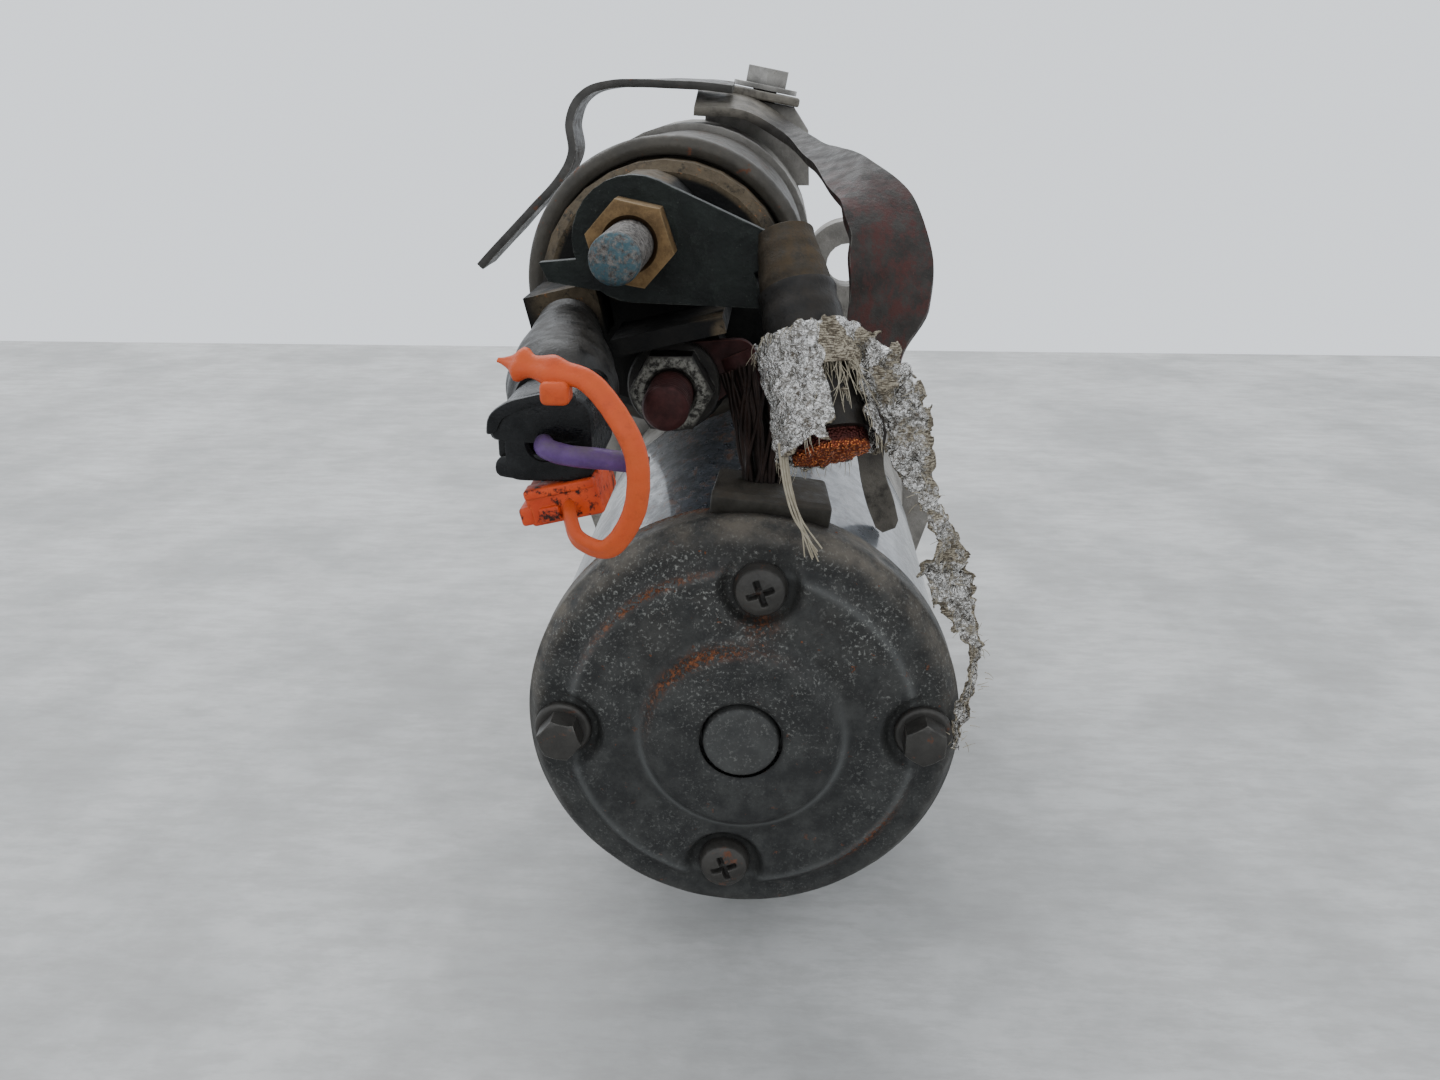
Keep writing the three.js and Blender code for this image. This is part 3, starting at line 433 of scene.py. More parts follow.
def tarnished(name, base, bright, dull=0.5, roughness=0.42, metallic=0.8):
    """Copper alloy that has gone dark, with its own colour left on its edges and dirt and painted shade in
    its hollows.
    """
    look = Look(name, metallic=metallic, specular=0.25)
    tone = look.mix(look.clouds(0.3, 0.7, 3.5, 6, 0.7), tuple(dull * c for c in base), base)
    tone = look.over(tone, bright, look.edges(0.4), 0.7)
    # Near-black in the hollows: dirt and painted shade.
    tone = look.over(tone, GRIME_AND_SHADE, look.hollows(2, 0.3, 0.95), 0.8)
    look.bump(look.noise(0.6, 4, 0.7), 0.06)
    look.bump(look.noise(2.5, 5), 0.12)
    return look.finish(tone, look.varied(roughness - 0.08, roughness + 0.15, 2, 5))


def brass():
    """Yellow plating under brown dirt, clean only along its edges, with dark brown dirt and painted shade in
    its hollows.
    """
    look = Look("brass", metallic=0.4, specular=0.25)
    tone = look.mix(look.clouds(0.35, 0.7, 2.5, 6, 0.7), (0.1, 0.06, 0.026), (0.2, 0.125, 0.055))
    dust = look.times(look.facing_up(0.2, 1.0), look.clouds(0.35, 0.6, 1.5, 5, 0.7))
    tone = look.over(tone, (0.3, 0.22, 0.13), dust, 0.6)
    tone = look.over(tone, (0.34, 0.25, 0.13), look.edges(0.5), 0.45)
    # Dark brown in the hollows: dirt and painted shade.
    tone = look.over(tone, (0.035, 0.018, 0.008), look.hollows(2.5, 0.3, 1.0), 0.9)
    look.bump(look.noise(0.6, 4, 0.7), 0.1)
    return look.finish(tone, look.varied(0.5, 0.7, 2, 5))


def lug_patina():
    """Tinned copper plate under a black-green patina, with pale green dust along its upper edge."""
    look = Look("lug_patina", metallic=0.1, specular=0.25)
    tone = look.mix(look.clouds(0.35, 0.7, 6, 6, 0.7), (0.0025, 0.0038, 0.0032), (0.009, 0.0125, 0.0105))
    cloud = look.clouds(0.5, 0.68, 4, 6, 0.8)
    tone = look.over(tone, (0.045, 0.058, 0.048), cloud, look.facing_up(-0.5, 1.0), 0.7)
    pale = look.clouds(0.63, 0.7, 0.7, 4, 0.8)
    tone = look.over(tone, (0.09, 0.1, 0.085), pale, 0.3)
    tone = look.over(tone, (0.12, 0.125, 0.11), look.edges(0.4), look.clouds(0.4, 0.6, 2), 0.6)
    look.bump(look.noise(0.7, 5, 0.7), 0.12)
    look.bump(look.noise(4, 4), 0.3)
    return look.finish(tone, look.varied(0.4, 0.62, 2.5, 5))


def band_steel():
    """The wide bracket: blackened steel, with red-brown rust under dust on its inner face."""
    look = Look("band_steel", metallic=0.15, specular=0.22)
    tone = look.mix(look.clouds(0.3, 0.7, 7, 6, 0.7), (0.016, 0.014, 0.012), (0.04, 0.035, 0.031))
    streaks = look.clouds(0.42, 0.62, 3, 6, 0.75, (1, 1, 0.35))
    tone = look.over(tone, (0.055, 0.019, 0.016), streaks, look.paint("rust"))
    tone = look.over(tone, (0.17, 0.155, 0.13), look.paint("dusty"), look.clouds(0.2, 0.6, 4, 6, 0.7))
    dust = look.clouds(0.62, 0.69, 1.1, 6, 0.85)
    tone = look.over(tone, (0.14, 0.11, 0.085), dust, 0.5)
    tone = look.over(tone, (0.2, 0.19, 0.17), look.edges(0.4), look.clouds(0.45, 0.6, 2.5), 0.7)
    look.bump(look.noise(0.8, 5, 0.75), 0.14)
    look.bump(look.noise(6, 4), 0.3)
    return look.finish(tone, look.varied(0.4, 0.6, 3, 5))


def stud_end():
    """A stud's tip: corroded grey thread with a dab of pale blue marking paint, and dirt and painted shade in
    the thread's grooves.
    """
    look = Look("stud_end", metallic=0.3, specular=0.25)
    tone = look.mix(look.clouds(0.38, 0.62, 1.0, 6, 0.8), (0.035, 0.03, 0.027), (0.16, 0.148, 0.135))
    blue = look.times(look.paint("marked"), look.clouds(0.42, 0.56, 1.6, 6, 0.75))
    tone = look.over(tone, (0.035, 0.085, 0.105), blue, 0.85)
    tone = look.over(tone, (0.12, 0.045, 0.025), look.clouds(0.62, 0.68, 0.7, 4, 0.8), 0.8)
    # Darker in the thread's grooves: dirt and painted shade.
    tone = look.over(tone, (0.03, 0.025, 0.022), look.hollows(0.8, 0.4, 0.95), 0.6)
    look.bump(look.noise(0.5, 4, 0.7), 0.12)
    return look.finish(tone, look.varied(0.42, 0.65, 1.5, 5))


def terminal_nut():
    """A flanged nut black with dirt, its chamfer ring worn pale."""
    look = Look("terminal_nut", metallic=0.3, specular=0.25)
    tone = look.mix(look.clouds(0.35, 0.7, 3, 6, 0.7), (0.01, 0.009, 0.008), (0.035, 0.032, 0.028))
    worn = look.times(look.paint("worn"), look.clouds(0.4, 0.6, 1.1, 5, 0.75))
    tone = look.mix(worn, tone, (0.2, 0.195, 0.17))
    tone = look.over(tone, (0.17, 0.165, 0.15), look.edges(0.4), look.clouds(0.45, 0.6, 1.4), 0.6)
    look.bump(look.noise(0.7, 5, 0.75), 0.14)
    return look.finish(tone, look.varied(0.38, 0.58, 1.5, 5))


def cap_plastic():
    """The solenoid's moulded end: black, darker in its hollows with dirt and painted shade, tan with dust
    along its rim and tower.
    """
    look = Look("cap_plastic", specular=0.12)
    tone = look.mix(look.clouds(0.35, 0.75, 5, 6, 0.7), (0.004, 0.004, 0.004), (0.012, 0.0115, 0.01))
    middle = leaned((0, 40, SOLENOID_HEIGHT))
    rim = look.calc("SUBTRACT", 1.0, look.near(middle, 20.6, 21.6, (1, 0, 1)))
    rim = look.times(rim, look.near(middle + Vector((-6, 0, 30)), 26, 34, (1, 0, 1)))
    tower = look.near((-31.5, 20, 73), 5.5, 9.5)
    wall_top = look.near((-15, 16, 72.4), 1.1, 2.4, (0.13, 0.1, 1))
    scrap = look.near((-3.6, 15, 68.8), 1.2, 3)
    place = look.calc("MAXIMUM", look.calc("MAXIMUM", rim, tower), look.calc("MAXIMUM", wall_top, scrap))
    cover = look.times(place, look.clouds(0.3, 0.5, 2.4, 6, 0.8))
    shade = look.mix(look.noise(1.6, 5, 0.75), (0.03, 0.021, 0.012), (0.13, 0.102, 0.066))
    tone = look.mix(cover, tone, shade)
    rust = look.times(cover, look.clouds(0.6, 0.66, 1.9, 5, 0.8))
    tone = look.mix(rust, tone, (0.2, 0.085, 0.03))
    # Near-black in the hollows: dirt and painted shade.
    tone = look.over(tone, (0.004, 0.004, 0.003), look.hollows(3, 0.25, 0.8), 0.8)
    look.bump(look.noise(0.6, 4, 0.65), 0.1)
    look.bump(look.noise(3, 5), 0.2)
    return look.finish(tone, look.varied(0.5, 0.72, 2.5, 5))


LOOKS = {
    "cover_paint": cover_paint(),
    "yoke_paint": yoke_paint(),
    "dark_steel": steel("dark_steel", (0.05, 0.047, 0.042), 0.35, 0.7, 0.45, 0.4, (0.2, 0.19, 0.17)),
    "solenoid_steel": steel("solenoid_steel", (0.05, 0.043, 0.032), 0.35, 0.5, 0.5, 0.25, (0.14, 0.13, 0.11)),
    "bright_steel": steel("bright_steel", (0.36, 0.345, 0.32), 0.25, 0.8, 0.38, 0.75, (0.5, 0.48, 0.45)),
    "gear_steel": steel("gear_steel", (0.3, 0.3, 0.3), 0.1, 0.7, 0.3, 0.95, (0.5, 0.5, 0.5)),
    "cast_aluminium": cast_aluminium(),
    "brass": brass(),
    "bronze": tarnished("bronze", (0.4, 0.25, 0.12), (0.6, 0.42, 0.22)),
    "copper": tarnished("copper", (0.055, 0.017, 0.016), (0.12, 0.045, 0.035), 0.4, 0.5, 0.4),
    "braid": tarnished("braid", (0.022, 0.012, 0.009), (0.07, 0.035, 0.025), 0.4, 0.5, 0.4),
    "winding": tarnished("winding", (0.5, 0.2, 0.09), (0.65, 0.3, 0.15), 0.6, 0.35),
    "lug_patina": lug_patina(),
    "carbon": dusty("carbon", (0.03, 0.03, 0.03), 0.1, 0.55),
    "magnet": dusty("magnet", (0.05, 0.05, 0.055), 0.15, 0.6),
    "black_plastic": dusty("black_plastic", (0.0022, 0.0026, 0.003), 0.12, 0.24, (0.07, 0.064, 0.055)),
    "cap_plastic": cap_plastic(),
    "tan_sleeve": dusty("tan_sleeve", (0.017, 0.013, 0.008), 0.85, 0.6, (0.078, 0.054, 0.03), 0.12),
    "cable_rubber": dusty("cable_rubber", (0.005, 0.0045, 0.004), 0.4, 0.38, (0.05, 0.038, 0.026)),
    "boot_rubber": dusty("boot_rubber", (0.0055, 0.0055, 0.0052), 0.4, 0.38, (0.055, 0.048, 0.04)),
    "grommet_rubber": dusty("grommet_rubber", (0.02, 0.018, 0.014), 0.6, 0.55, (0.065, 0.053, 0.04)),
    "purple_plastic": dusty("purple_plastic", (0.07, 0.033, 0.12), 0.7, 0.42, (0.1, 0.08, 0.085)),
    "orange_plastic": orange_plastic(),
    "heat_foil": heat_foil(),
    "fibre": fibre(),
    "bare_copper": bare_copper(),
    "terminal_nut": terminal_nut(),
    "band_steel": band_steel(),
    "stud_end": stud_end(),
}

# ---- Shapes ----


def smooth(value, low, high):
    """0 below low, 1 above high, and a smooth curve between. Works on numbers and arrays."""
    share = np.clip((value - low) / (high - low), 0, 1)
    return share * share * (3 - 2 * share)


def spread(value, centre, width):
    """A bell curve: 1 at the centre, 0 well beyond the width."""
    return np.exp(-(((value - centre) / width) ** 2))


def rough(point, size, seed=0):
    """Smooth unevenness between about -1 and 1, with bumps of the size."""
    return noise.noise(Vector(point) / size + Vector((seed * 7.1, seed * 3.3, 0)))


def new_piece(name, points, faces, look, nodes=(), body=CASE, slot=None, sharp=40, masks=None):
    """A mesh piece on a body, from points in the motor's frame. It stands for the CAD nodes named."""
    mesh = bpy.data.meshes.new(name)
    mesh.from_pydata([row(p) for p in points], [], faces)
    mesh.update()
    piece = bpy.data.objects.new(name, mesh)
    bpy.context.scene.collection.objects.link(piece)
    for mask, values in (masks or {}).items():
        attribute = mesh.attributes.new(mask, "FLOAT", "POINT")
        attribute.data.foreach_set("value", np.asarray(values, np.float32))
    outward(mesh)
    mesh.shade_smooth()
    mesh.set_sharp_from_angle(angle=math.radians(sharp))
    mesh.materials.append(LOOKS[look])
    if nodes:
        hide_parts(*nodes)
    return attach(piece, body)


def outward(mesh):
    """Makes all faces look outward."""
    shape = bmesh.new()
    shape.from_mesh(mesh)
    bmesh.ops.recalc_face_normals(shape, faces=shape.faces)
    shape.to_mesh(mesh)
    shape.free()


def grid_faces(rows, columns, closed=False):
    """Quads between the rows of a grid of points. Closed joins each row's last point to its first."""
    faces = []
    for i in range(rows - 1):
        for j in range(columns if closed else columns - 1):
            k = (j + 1) % columns
            faces.append((i * columns + j, i * columns + k, (i + 1) * columns + k, (i + 1) * columns + j))
    return faces


def tube_faces(points, sides):
    """The faces of an open tube of rings."""
    return grid_faces(len(points) // sides, sides, True)


def capped(rows, columns):
    """The faces of a closed tube of rings, with a face over each end."""
    faces = grid_faces(rows, columns, True)
    faces.append(tuple(range(columns)))
    faces.append(tuple(range((rows - 1) * columns, rows * columns)))
    return faces


def around(count):
    """Even angles round a full turn."""
    return [j * TURN / count for j in range(count)]


def ring(radius, y, sides):
    """A circle of points round the Y axis."""
    return [(radius * math.cos(a), y, radius * math.sin(a)) for a in around(sides)]


def rings(profile, sides):
    """Plain circles through [radius, y] points."""
    return [point for radius, y in profile for point in ring(radius, y, sides)]


def turned(profile, sides, wobble=0.0):
    """Circles through [radius, y] points with a slight unevenness."""
    points = []
    for radius, y in profile:
        for angle in around(sides):
            r = radius + wobble * rough((math.cos(angle) * 4, y / 4, math.sin(angle) * 4), 1.0)
            points.append((r * math.cos(angle), y, r * math.sin(angle)))
    return points


def rounded(profile, radius=0.4, steps=3):
    """A profile of [radius, y] points with its inner corners rounded."""
    result = [profile[0]]
    for before, corner, after in zip(profile, profile[1:], profile[2:]):
        a, b, c = Vector(before), Vector(corner), Vector(after)
        reach = min(radius, (a - b).length / 2.1, (c - b).length / 2.1)
        start = b + (a - b).normalized() * reach
        end = b + (c - b).normalized() * reach
        for i in range(steps + 1):
            t = i / steps
            point = start * (1 - t) ** 2 + b * 2 * t * (1 - t) + end * t * t
            result.append((point.x, point.y))
    result.append(profile[-1])
    return result


def smooth_path(points, count):
    """A Catmull-Rom curve through the points, at even steps."""
    knots = [Vector(p) for p in points]
    knots = [2 * knots[0] - knots[1], *knots, 2 * knots[-1] - knots[-2]]
    dense = []
    for i in range(1, len(knots) - 2):
        a, b, c, d = knots[i - 1 : i + 3]
        for t in np.linspace(0, 1, 24, endpoint=i == len(knots) - 3):
            dense.append(0.5 * (2 * b + (c - a) * t + (2 * a - 5 * b + 4 * c - d) * t * t
                                + (3 * b - a - 3 * c + d) * t ** 3))
    lengths = np.concatenate([[0], np.cumsum([(q - p).length for p, q in zip(dense, dense[1:])])])
    result = []
    for wanted in np.linspace(0, lengths[-1], count):
        i = min(int(np.searchsorted(lengths, wanted, "right")) - 1, len(dense) - 2)
        share = (wanted - lengths[i]) / max(lengths[i + 1] - lengths[i], 1e-9)
        result.append(dense[i].lerp(dense[i + 1], share))
    return result


def frames_along(path, first_side=(0, 0, 1)):
    """A side and an up direction at each point of a path, turned as little as possible."""
    side = Vector(first_side)
    frames = []
    for i, point in enumerate(path):
        way = (path[min(i + 1, len(path) - 1)] - path[max(i - 1, 0)]).normalized()
        side = (side - way * side.dot(way)).normalized()
        frames.append((side, way.cross(side)))
    return frames


def tube_points(path, radius, sides=16, first_side=(0, 0, 1)):
    """Rings along a path. radius is a number, or a function of (step, angle, point) that returns one."""
    points = []
    for i, (point, (side, up)) in enumerate(zip(path, frames_along(path, first_side))):
        for angle in around(sides):
            way = side * math.cos(angle) + up * math.sin(angle)
            size = radius(i / (len(path) - 1), angle, point) if callable(radius) else radius
            points.append(point + way * size)
    return points


def tube_piece(name, route, radius, look, count, sides, **settings):
    """A closed tube along a smooth curve through the route."""
    path = smooth_path(route, count)
    return new_piece(name, tube_points(path, radius, sides), capped(count, sides), look, **settings)


def box_shape(spans, bevel=0.5, segments=3):
    """A box between two corners with rounded edges, as points and faces."""
    shape = bmesh.new()
    bmesh.ops.create_cube(shape, size=1)
    for vertex in shape.verts:
        vertex.co = [low if c < 0 else high for c, (low, high) in zip(vertex.co, spans)]
    bmesh.ops.bevel(shape, geom=shape.edges, offset=bevel, segments=segments, profile=0.5, affect="EDGES")
    points = [v.co.copy() for v in shape.verts]
    faces = [tuple(v.index for v in f.verts) for f in shape.faces]
    shape.free()
    return points, faces


def merged(*shapes):
    """Several shapes of (points, faces) as one."""
    points, faces = [], []
    for shape_points, shape_faces in shapes:
        base = len(points)
        points += shape_points
        faces += [tuple(base + v for v in f) for f in shape_faces]
    return points, faces


def prism(outline, low, high, bevel=0.5):
    """A solid between two Y planes with the outline's [x, z] points, its corners and rims rounded."""
    ring = rounded(outline + outline[:2], 1.4, 4)[1:-1]
    middle = np.mean(ring, axis=0)
    size = np.ptp(ring, axis=0).min() / 2
    points = []
    soft = 0.3 * bevel
    for inset, y in ((bevel, low), (soft, low + soft), (0, low + bevel), (0, high - bevel), (bevel, high)):
        shrunk = middle + (np.array(ring) - middle) * (1 - inset / size)
        points += [(x, y, z) for x, z in shrunk]
    return points, capped(5, len(ring))


def refined(node, look, bevel=0.35, sharp=38):
    """A CAD node's own shape with softened edges."""
    source = frame["nodes"][node]
    mesh = source.data.copy()
    shape = bmesh.new()
    shape.from_mesh(mesh)
    bmesh.ops.remove_doubles(shape, verts=shape.verts, dist=2e-5)
    bmesh.ops.dissolve_limit(shape, angle_limit=math.radians(1), verts=shape.verts, edges=shape.edges)
    shape.to_mesh(mesh)
    shape.free()
    for name in ("custom_normal", "sharp_face", "sharp_edge"):
        if name in mesh.attributes:
            mesh.attributes.remove(mesh.attributes[name])
    mesh.shade_smooth()
    mesh.set_sharp_from_angle(angle=math.radians(sharp))
    mesh.materials.clear()
    mesh.materials.append(LOOKS[look])
    piece = bpy.data.objects.new(node + "_look", mesh)
    bpy.context.scene.collection.objects.link(piece)
    if bevel:
        soften = piece.modifiers.new("soften", "BEVEL")
        soften.width = bevel / 1000
        soften.segments = 2
        soften.limit_method = "ANGLE"
        soften.angle_limit = math.radians(sharp)
        soften.harden_normals = True
    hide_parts(node)
    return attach(piece, source["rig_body"])


# ---- Camera, light and floor ----


def add_camera():
    data = bpy.data.cameras.new("camera")
    data.lens = 30
    camera = bpy.data.objects.new("camera", data)
    camera.location = row((5.9, -186.3, 107.8))
    camera.rotation_euler = (math.radians(90 - 20.81), 0, math.radians(2.97))
    bpy.context.scene.collection.objects.link(camera)
    bpy.context.scene.camera = camera


def add_light(name, place, aim, size, power, color):
    data = bpy.data.lights.new(name, "AREA")
    data.shape = "RECTANGLE"
    data.size, data.size_y = size
    data.energy = power
    data.color = color
    light = bpy.data.objects.new(name, data)
    light.location = place
    light.rotation_euler = (Vector(aim) - Vector(place)).to_track_quat("-Z", "Y").to_euler()
    bpy.context.scene.collection.objects.link(light)


def add_stage():
    """A pale table whose far edge lies behind the motor, in front of an even pale wall."""
    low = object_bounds()[0].z
    mesh = bpy.data.meshes.new("floor")
    mesh.from_pydata([(-5, -5, 0), (5, -5, 0), (5, 0.43, 0), (-5, 0.43, 0)], [], [(0, 1, 2, 3)])
    floor = bpy.data.objects.new("floor", mesh)
    floor.location.z = low
    bpy.context.scene.collection.objects.link(floor)
    look = Look("floor", specular=0.35)
    clouds = look.mix(look.clouds(0.35, 0.65, 70, 6, 0.65), (0.36, 0.36, 0.352), (0.52, 0.52, 0.51))
    streaks = look.clouds(0.4, 0.62, 9, 6, 0.75, (0.5, 1.6, 1))
    pale = look.over(clouds, (0.28, 0.272, 0.26), streaks, 0.35)
    look.bump(look.noise(2, 5), 0.05)
    floor.data.materials.append(look.finish(pale, look.varied(0.42, 0.6, 25, 5)))
    world = bpy.data.worlds.new("world")
    world.use_nodes = True
    world.node_tree.nodes["Background"].inputs[0].default_value = (0.9, 0.945, 1, 1)
    world.node_tree.nodes["Background"].inputs[1].default_value = 1.35
    bpy.context.scene.world = world
    add_light("window", (-0.5, 0.9, 1.3), (0, 0, 0.05), (1.6, 1.0), 16, (0.97, 0.985, 1))
    add_light("front", (0.35, -1.5, 0.9), (0, -0.1, 0.05), (1.4, 0.9), 3, (1, 0.97, 0.93))


# ---- Rear end ----

FASTENERS = {
    "cover_screw_top": (27.8, 83.7),
    "cover_screw_bottom": (27.8, 263.7),
    "through_bolt_right": (32.1, 0.8),
    "through_bolt_left": (32.1, 180.8),
}


def fastener_place(name):
    """Where a fastener of the cover stands, in x and z."""
    radius, angle = FASTENERS[name]
    return radius * math.cos(math.radians(angle)), radius * math.sin(math.radians(angle))


def cover_depth(x, z):
    """How far the cover's pressed face lies behind its platform, at points in x and z."""
    radius = np.hypot(x, z)
    depth = -BOSS_RISE * (1 - smooth(radius, 15.6, 19.6))
    depth = depth + 2.0 * smooth(radius, 30.4, 33.4)
    for name in FASTENERS:
        fx, fz = fastener_place(name)
        size = 7.7 if "bolt" in name else 7.2
        pocket = 1 - smooth(np.hypot(x - fx * 1.015, z - fz * 1.015), size - 1.3, size + 0.7)
        depth = depth + (np.maximum(depth, 2.2) - depth) * pocket
    depth = depth + 0.7 * (1 - smooth(radius, 7.3, 8.2))
    return depth + 3.6 * smooth(radius, 35.2, 39.4) ** 2


def rear_cover():
    sides = 300
    hole_radius = 7.35
    rim_radius = 39
    inner_radius = 36.6
    radii = [*np.linspace(hole_radius, 15, 14), *np.linspace(15.3, 20, 24), *np.linspace(20.4, 38.2, 80),
             38.5, 38.75, 38.9]
    points = []
    angles = np.array(around(sides))
    for radius in radii:
        x, z = radius * np.cos(angles), radius * np.sin(angles)
        y = cover_depth(x, z)
        dents = [0.12 * rough((a, 0, b), 7) + 0.04 * rough((a, 0, b), 2, 1) for a, b in zip(x, z)]
        points += list(zip(x, y + np.array(dents), z))
    points += rings([(rim_radius, y) for y in (6.6, 8, 9.6, 11, 11.7)], sides)
    points += rings([(inner_radius, 12), (hole_radius, 3)], sides)
    where = np.array(points)
    x, y, z = where.T
    radius, angle = np.hypot(x, z), np.degrees(np.arctan2(z, x)) % 360
    upper = smooth(z, -10, 30)
    boss_rust = spread(radius, 17.2, 0.9) * spread(angle, 122, 32)
    edge_rust = spread(radius, 31, 0.6) * spread(angle, 124, 20)
    edge_rust += spread(radius, 31.6, 0.8) * spread(angle, 318, 12)
    rim_rust = smooth(y, 8.5, 11.5) * smooth(z, 20, 34) * smooth(-x, -20, 10)
    screw_x, screw_z = fastener_place("cover_screw_top")
    screw_rust = spread(np.hypot(x - screw_x, z - screw_z + 5.8), 0, 2.4)
    masks = {
        "rust": np.clip(1.4 * boss_rust + 1.3 * edge_rust + rim_rust + 0.9 * screw_rust, 0, 1),
        "rust_spots": 0.35 + 0.5 * smooth(radius, 12, 20) * upper,
        "speckle": 0.25 + 0.75 * upper,
        "dust": smooth(radius, 34.5, 38.4) * (0.25 + 0.75 * upper) * 0.9 + 0.1 * upper,
        # A painted highlight: paler paint along the lower edge of the boss and along the platform edges.
        "painted_shine": 0.9 * spread(radius, 18.2, 0.7) * smooth(-z, -12, 8) + 0.5 * spread(radius, 30.8, 0.7),
    }
    new_piece("rear_cover_look", points, tube_faces(points, sides), "cover_paint", ["rear_cover"],
              masks=masks, sharp=55)


def cover_disc():
    """The closing disc, with a gap round it."""
    profile = rounded([(0.01, -3.1), (5.9, -3.1), (6.6, -2.7), (7.05, 1), (0.01, 1)], 0.4)
    sides = 96
    points = turned(profile, sides)
    # The disc gets a little painted highlight all over.
    levels = {"speckle": 0.35, "dust": 0.05, "painted_shine": 0.2}
    masks = {name: [level] * len(points) for name, level in levels.items()}
    new_piece("cover_disc_look", points, tube_faces(points, sides), "cover_paint", ["cover_disc"],
              masks=masks)


def cross_screw(name):
    """A domed head with a cross recess."""
    place_x, place_z = fastener_place(name)
    sides = 96
    turn = 0.35
    dome_radius = 4.2
    head_radius = 4.65
    points = []
    for radius in [*np.linspace(0.02, dome_radius, 34), 4.4, 4.55, 4.62, head_radius]:
        dome = -1.25 + 0.85 * (radius / dome_radius) ** 3.2 + 1.3 * smooth(radius, 4.1, 4.75)
        for angle in around(sides):
            u, v = radius * math.cos(angle - turn), radius * math.sin(angle - turn)
            wing = min(abs(u), abs(v))
            reach = 1 - smooth(radius, 2.1, 2.6)
            cross = (1 - smooth(wing, 0.34, 0.62)) * reach
            y = dome + 1.9 * cross * (1 - 0.35 * radius / 2.6) + 0.06 * rough((u, v, 0), 0.8)
            points.append((radius * math.cos(angle) + place_x, y, radius * math.sin(angle) + place_z))
    points += [(x + place_x, y, z + place_z) for x, y, z in ring(head_radius, 2.6, sides)]
    new_piece(name + "_look", points, tube_faces(points, sides), "dark_steel", [name], sharp=70)


def hexagon(flats, low, high, slope, shares, sides):
    """Rings of a hexagon whose near corners are turned off to a cone.

    The shares say how far back each ring lies, and the slope how fast the cone rises.
    """
    points = []
    for share in shares:
        for angle in around(sides):
            corner = flats / math.cos((angle % (TURN / 6)) - TURN / 12)
            front = low + slope * (corner - flats) / flats
            y = front + (high - front) * share
            points.append((corner * math.cos(angle), y, corner * math.sin(angle)))
    return points


def moved(points, offset, turn=0.0):
    """The points turned about the Y axis, then shifted."""
    spin = Matrix.Rotation(turn, 3, "Y")
    return [spin @ Vector(p) + Vector(offset) for p in points]


def through_bolt(name, turn):
    """A hexagon head on its flange. Its flat front is a little smaller than the hexagon."""
    place_x, place_z = fastener_place(name)
    place = (place_x, 0, place_z)
    flats = 3.5
    front = -3.6
    sides = 72
    head = rings([(0.02, front), (flats * 0.72, front), (flats * 0.98, front + 0.12)], sides)
    head += hexagon(flats, front + 0.2, 1.3, 2.25, (0.0, 0.35, 0.7, 1.0), sides)
    new_piece(name + "_head", moved(head, place, turn), tube_faces(head, sides), "dark_steel", [name],
              sharp=28)
    sides = 64
    flange = turned(rounded([(3.4, 0.9), (4.6, 0.85), (5.1, 1.3), (5.1, 2.4)], 0.3), sides)
    new_piece(name + "_flange", moved(flange, place), tube_faces(flange, sides), "dark_steel")


def grommet():
    """A rubber block with soft edges, a raised collar round the lead and a flat front lip."""
    tilt = math.radians(-6.5)
    shape = bmesh.new()
    bmesh.ops.create_cube(shape, size=1)
    for vertex in shape.verts:
        x, y, z = vertex.co
        vertex.co = (x * (21 if y < 0 else 19.6), 16.25 + y * 15.5, 38.2 + z * (7.2 if y < 0 else 6.4))
    bmesh.ops.bevel(shape, geom=shape.edges, offset=1.1, segments=4, profile=0.6, affect="EDGES")
    bmesh.ops.subdivide_edges(shape, edges=shape.edges, cuts=2, use_grid_fill=True)
    points = []
    for vertex in shape.verts:
        point = vertex.co.copy()
        collar = math.exp(-(((point.x - 2.4) / 5.2) ** 4) - ((point.y - 17) / 4.6) ** 4)
        point.z += (0.9 * collar + 0.12 * rough(point, 3)) * (point.z > 38)
        point.y -= 0.8 * smooth(point.z, 38.6, 39.2) * (1 - smooth(point.z, 41, 41.6)) * (point.y < 9.5)
        points.append(Matrix.Rotation(-tilt, 3, "Y") @ point)
    faces = [tuple(v.index for v in f.verts) for f in shape.faces]
    new_piece("lead_grommet_look", points, faces, "grommet_rubber", ["lead_grommet"])
    shape.free()


def yoke():
    """The painted tube, with a small chamfer at both ends."""
    sides = 160
    radius = 38
    profile = [(radius - 0.5, 12.35), (radius - 0.12, 12.5), (radius, 12.9)]
    profile += [(radius, y) for y in np.linspace(14, 83, 60)]
    profile += [(radius - 0.12, 83.8), (radius - 0.5, 84), (radius - 3, 84)]
    points = rings(profile, sides)
    x, y, z = np.array(points).T
    angle = np.degrees(np.arctan2(z, x))
    top = spread(angle, 102, 34)
    wave = 33 + 2.2 * np.sin(y / 2.6) + 1.1 * np.sin(y / 1.1)
    # The sides, where the paint is made paler: a clear label and a painted sheen.
    film_and_painted_sheen = ((angle < wave) & (angle > -60)) | (angle > 147) | (angle < -120)
    joint_rust = 0.9 * spread(y, 12.6, 0.7) * smooth(z, 15, 30)
    masks = {
        # Darker along the top, under the solenoid: dirt and painted shade.
        "grime_and_shade": np.clip(0.95 * top + 0.15, 0, 1),
        "rust": np.clip(top * (0.7 + spread(y, 12.5, 1.6)) + joint_rust, 0, 1),
        "film_and_painted_sheen": film_and_painted_sheen.astype(float),
    }
    new_piece("yoke_look", points, tube_faces(points, sides), "yoke_paint", ["yoke"], masks=masks)


# ---- Solenoid ----


